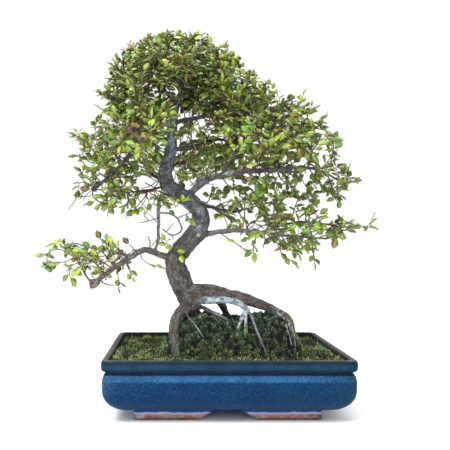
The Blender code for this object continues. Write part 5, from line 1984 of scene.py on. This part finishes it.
def make_leaves(name, leaves, shape, finish, node, spray):
    """One mesh of leaves, each with its own roll, curl, size and colour."""
    vertices, faces, uvs = shape
    draw = random.Random(SEED * 3000 + spray)
    places = np.empty((len(leaves), len(vertices), 3))
    colours = []
    for index, leaf in enumerate(leaves):
        roll = draw.gauss(0.0, 0.25)
        curl = draw.uniform(0.4, 1.8)
        facing = unit(leaf.facing + roll * np.cross(leaf.facing, leaf.heading))
        side = np.cross(leaf.heading, facing)
        low = 1.0 - smooth_step(300.0, 400.0, leaf.place[2])
        size = leaf.length * draw.uniform(0.70, 0.98) * (1.0 + 0.05 * low)
        wide = size * draw.uniform(0.9, 1.1) * (1.0 + 0.10 * low)
        local = vertices * np.array((wide, size, size * curl))
        turn = np.column_stack((side, leaf.heading, facing))
        places[index] = local @ turn.T + leaf.place + leaf.heading * size * -LEAF_STATIONS[0]
        colours.append((tint_of(leaf, draw), cool_of(leaf, draw), rust_of(leaf, draw)))
    made = repeated(name, places, faces)
    for attribute, values in zip(("tint", "cool", "rust"), zip(*colours)):
        set_attribute(made, attribute, np.repeat(values, len(vertices)))
    layer = made.data.uv_layers.new(name="leaf_map")
    layer.data.foreach_set("uv", np.tile(uvs, (len(leaves), 1)).ravel())
    present(made, finish, [node])


def make_sprays(leaf_paint, twig_paint):
    """Each spray's twigs and leaves, in place of its solid."""
    buds = make_buds()
    twigs = grow(buds)
    sets = [[] for _ in buds]
    for joint in sorted(trim(twigs)):
        sets[twigs.sprays[joint]].append(joint)
    shape = leaf_shape()
    on_boughs = bough_shoots(buds)
    alone = lone_shoots()
    sights = sight_lines()
    for spray, bud in enumerate(buds):
        if bud.name not in NODES:
            continue
        joints = sets[spray]
        lines = [smoothed(line, 2) for line in twig_lines(joints, twigs, bud)]
        leaves = leaves_of(spray, joints, twigs)
        shoots = shoots_of(spray, joints, twigs) + on_boughs.get(bud.name, []) + alone.get(bud.name, [])
        for line, its_leaves in shoots:
            if not stands_out(line[-1][:3]):
                lines.append(line)
                leaves += its_leaves
        draw = random.Random(SEED * 6000 + spray)
        leaves = [leaf for leaf in leaves if not (
            stands_out(leaf.place + leaf.heading * leaf.length)
            or pinched_out(leaf, sights) or thinned_out(leaf, draw)
        )]
        lines = [[(*row[:3], row[3] * TWIG_SWELL) for row in line] for line in lines]
        twig = tubes(bud.name + "_twigs", lines, 0)
        present(twig, twig_paint, [bud.name])
        make_leaves(bud.name + "_leaves", leaves, shape, leaf_paint, bud.name, spray)


# Studio

def make_studio():
    """A pale floor, soft light from above the left shoulder, and the camera level with the trunk."""
    bpy.ops.mesh.primitive_plane_add(size=80.0, location=(0.0, 0.0, 0.0))
    floor = bpy.context.object
    floor.name = "floor"
    tones = (0.97, 0.97, 0.97), (0.98, 0.98, 0.98)
    floor.data.materials.append(two_tone_finish("pale_floor", 0.7, 3.0, *tones))
    world = bpy.data.worlds.new("studio")
    world.use_nodes = True
    world.node_tree.nodes["Background"].inputs[0].default_value = (1.0, 1.0, 1.0, 1.0)
    world.node_tree.nodes["Background"].inputs[1].default_value = 1.04
    bpy.context.scene.world = world
    for name, place, size, energy in (
        ("key", (-0.7, -0.8, 1.5), 0.7, 32.0),
        ("top", (0.1, 0.1, 1.6), 0.7, 18.0),
    ):
        light = bpy.data.lights.new(name, "AREA")
        light.energy = energy
        light.size = size
        lamp = bpy.data.objects.new(name, light)
        lamp.location = place
        aim = Vector((0.0, 0.0, 0.2)) - Vector(place)
        lamp.rotation_euler = aim.to_track_quat("-Z", "Y").to_euler()
        bpy.context.scene.collection.objects.link(lamp)
    bpy.context.scene.view_settings.view_transform = "Standard"
    # The photograph's own frame: 450 pixels square, the camera level and facing the middle of this spot
    frame_size = 450.0
    focal = 541.8
    middle_x, middle_y = 178.0, 242.0
    camera = bpy.data.cameras.new("camera")
    camera.sensor_width = 36.0
    camera.lens = camera.sensor_width * focal / frame_size
    camera.shift_x = (frame_size / 2 - middle_x) / frame_size
    camera.shift_y = (middle_y - frame_size / 2) / frame_size
    camera.clip_end = 50.0
    eye = bpy.data.objects.new("camera", camera)
    eye.location = Vector(to_scene(VIEWER))
    eye.rotation_euler = (math.pi / 2, 0.0, 0.0)
    bpy.context.scene.collection.objects.link(eye)
    bpy.context.scene.camera = eye


def main():
    noise.seed_set(SEED)
    deselect()
    make_studio()
    make_pot(glaze_finish())
    make_soil(soil_finish())
    make_moss(moss_finish())
    make_grit(grit_finish())
    make_wood(bark_finish())
    make_sprays(leaf_finish(), twig_finish())
    plastic = two_tone_finish("screen_plastic", 0.5, 300.0, (0.03, 0.03, 0.03), (0.06, 0.055, 0.05))
    for name in ("drain_screen_left", "drain_screen_right"):
        NODES[name].data.materials.clear()
        NODES[name].data.materials.append(plastic)


main()
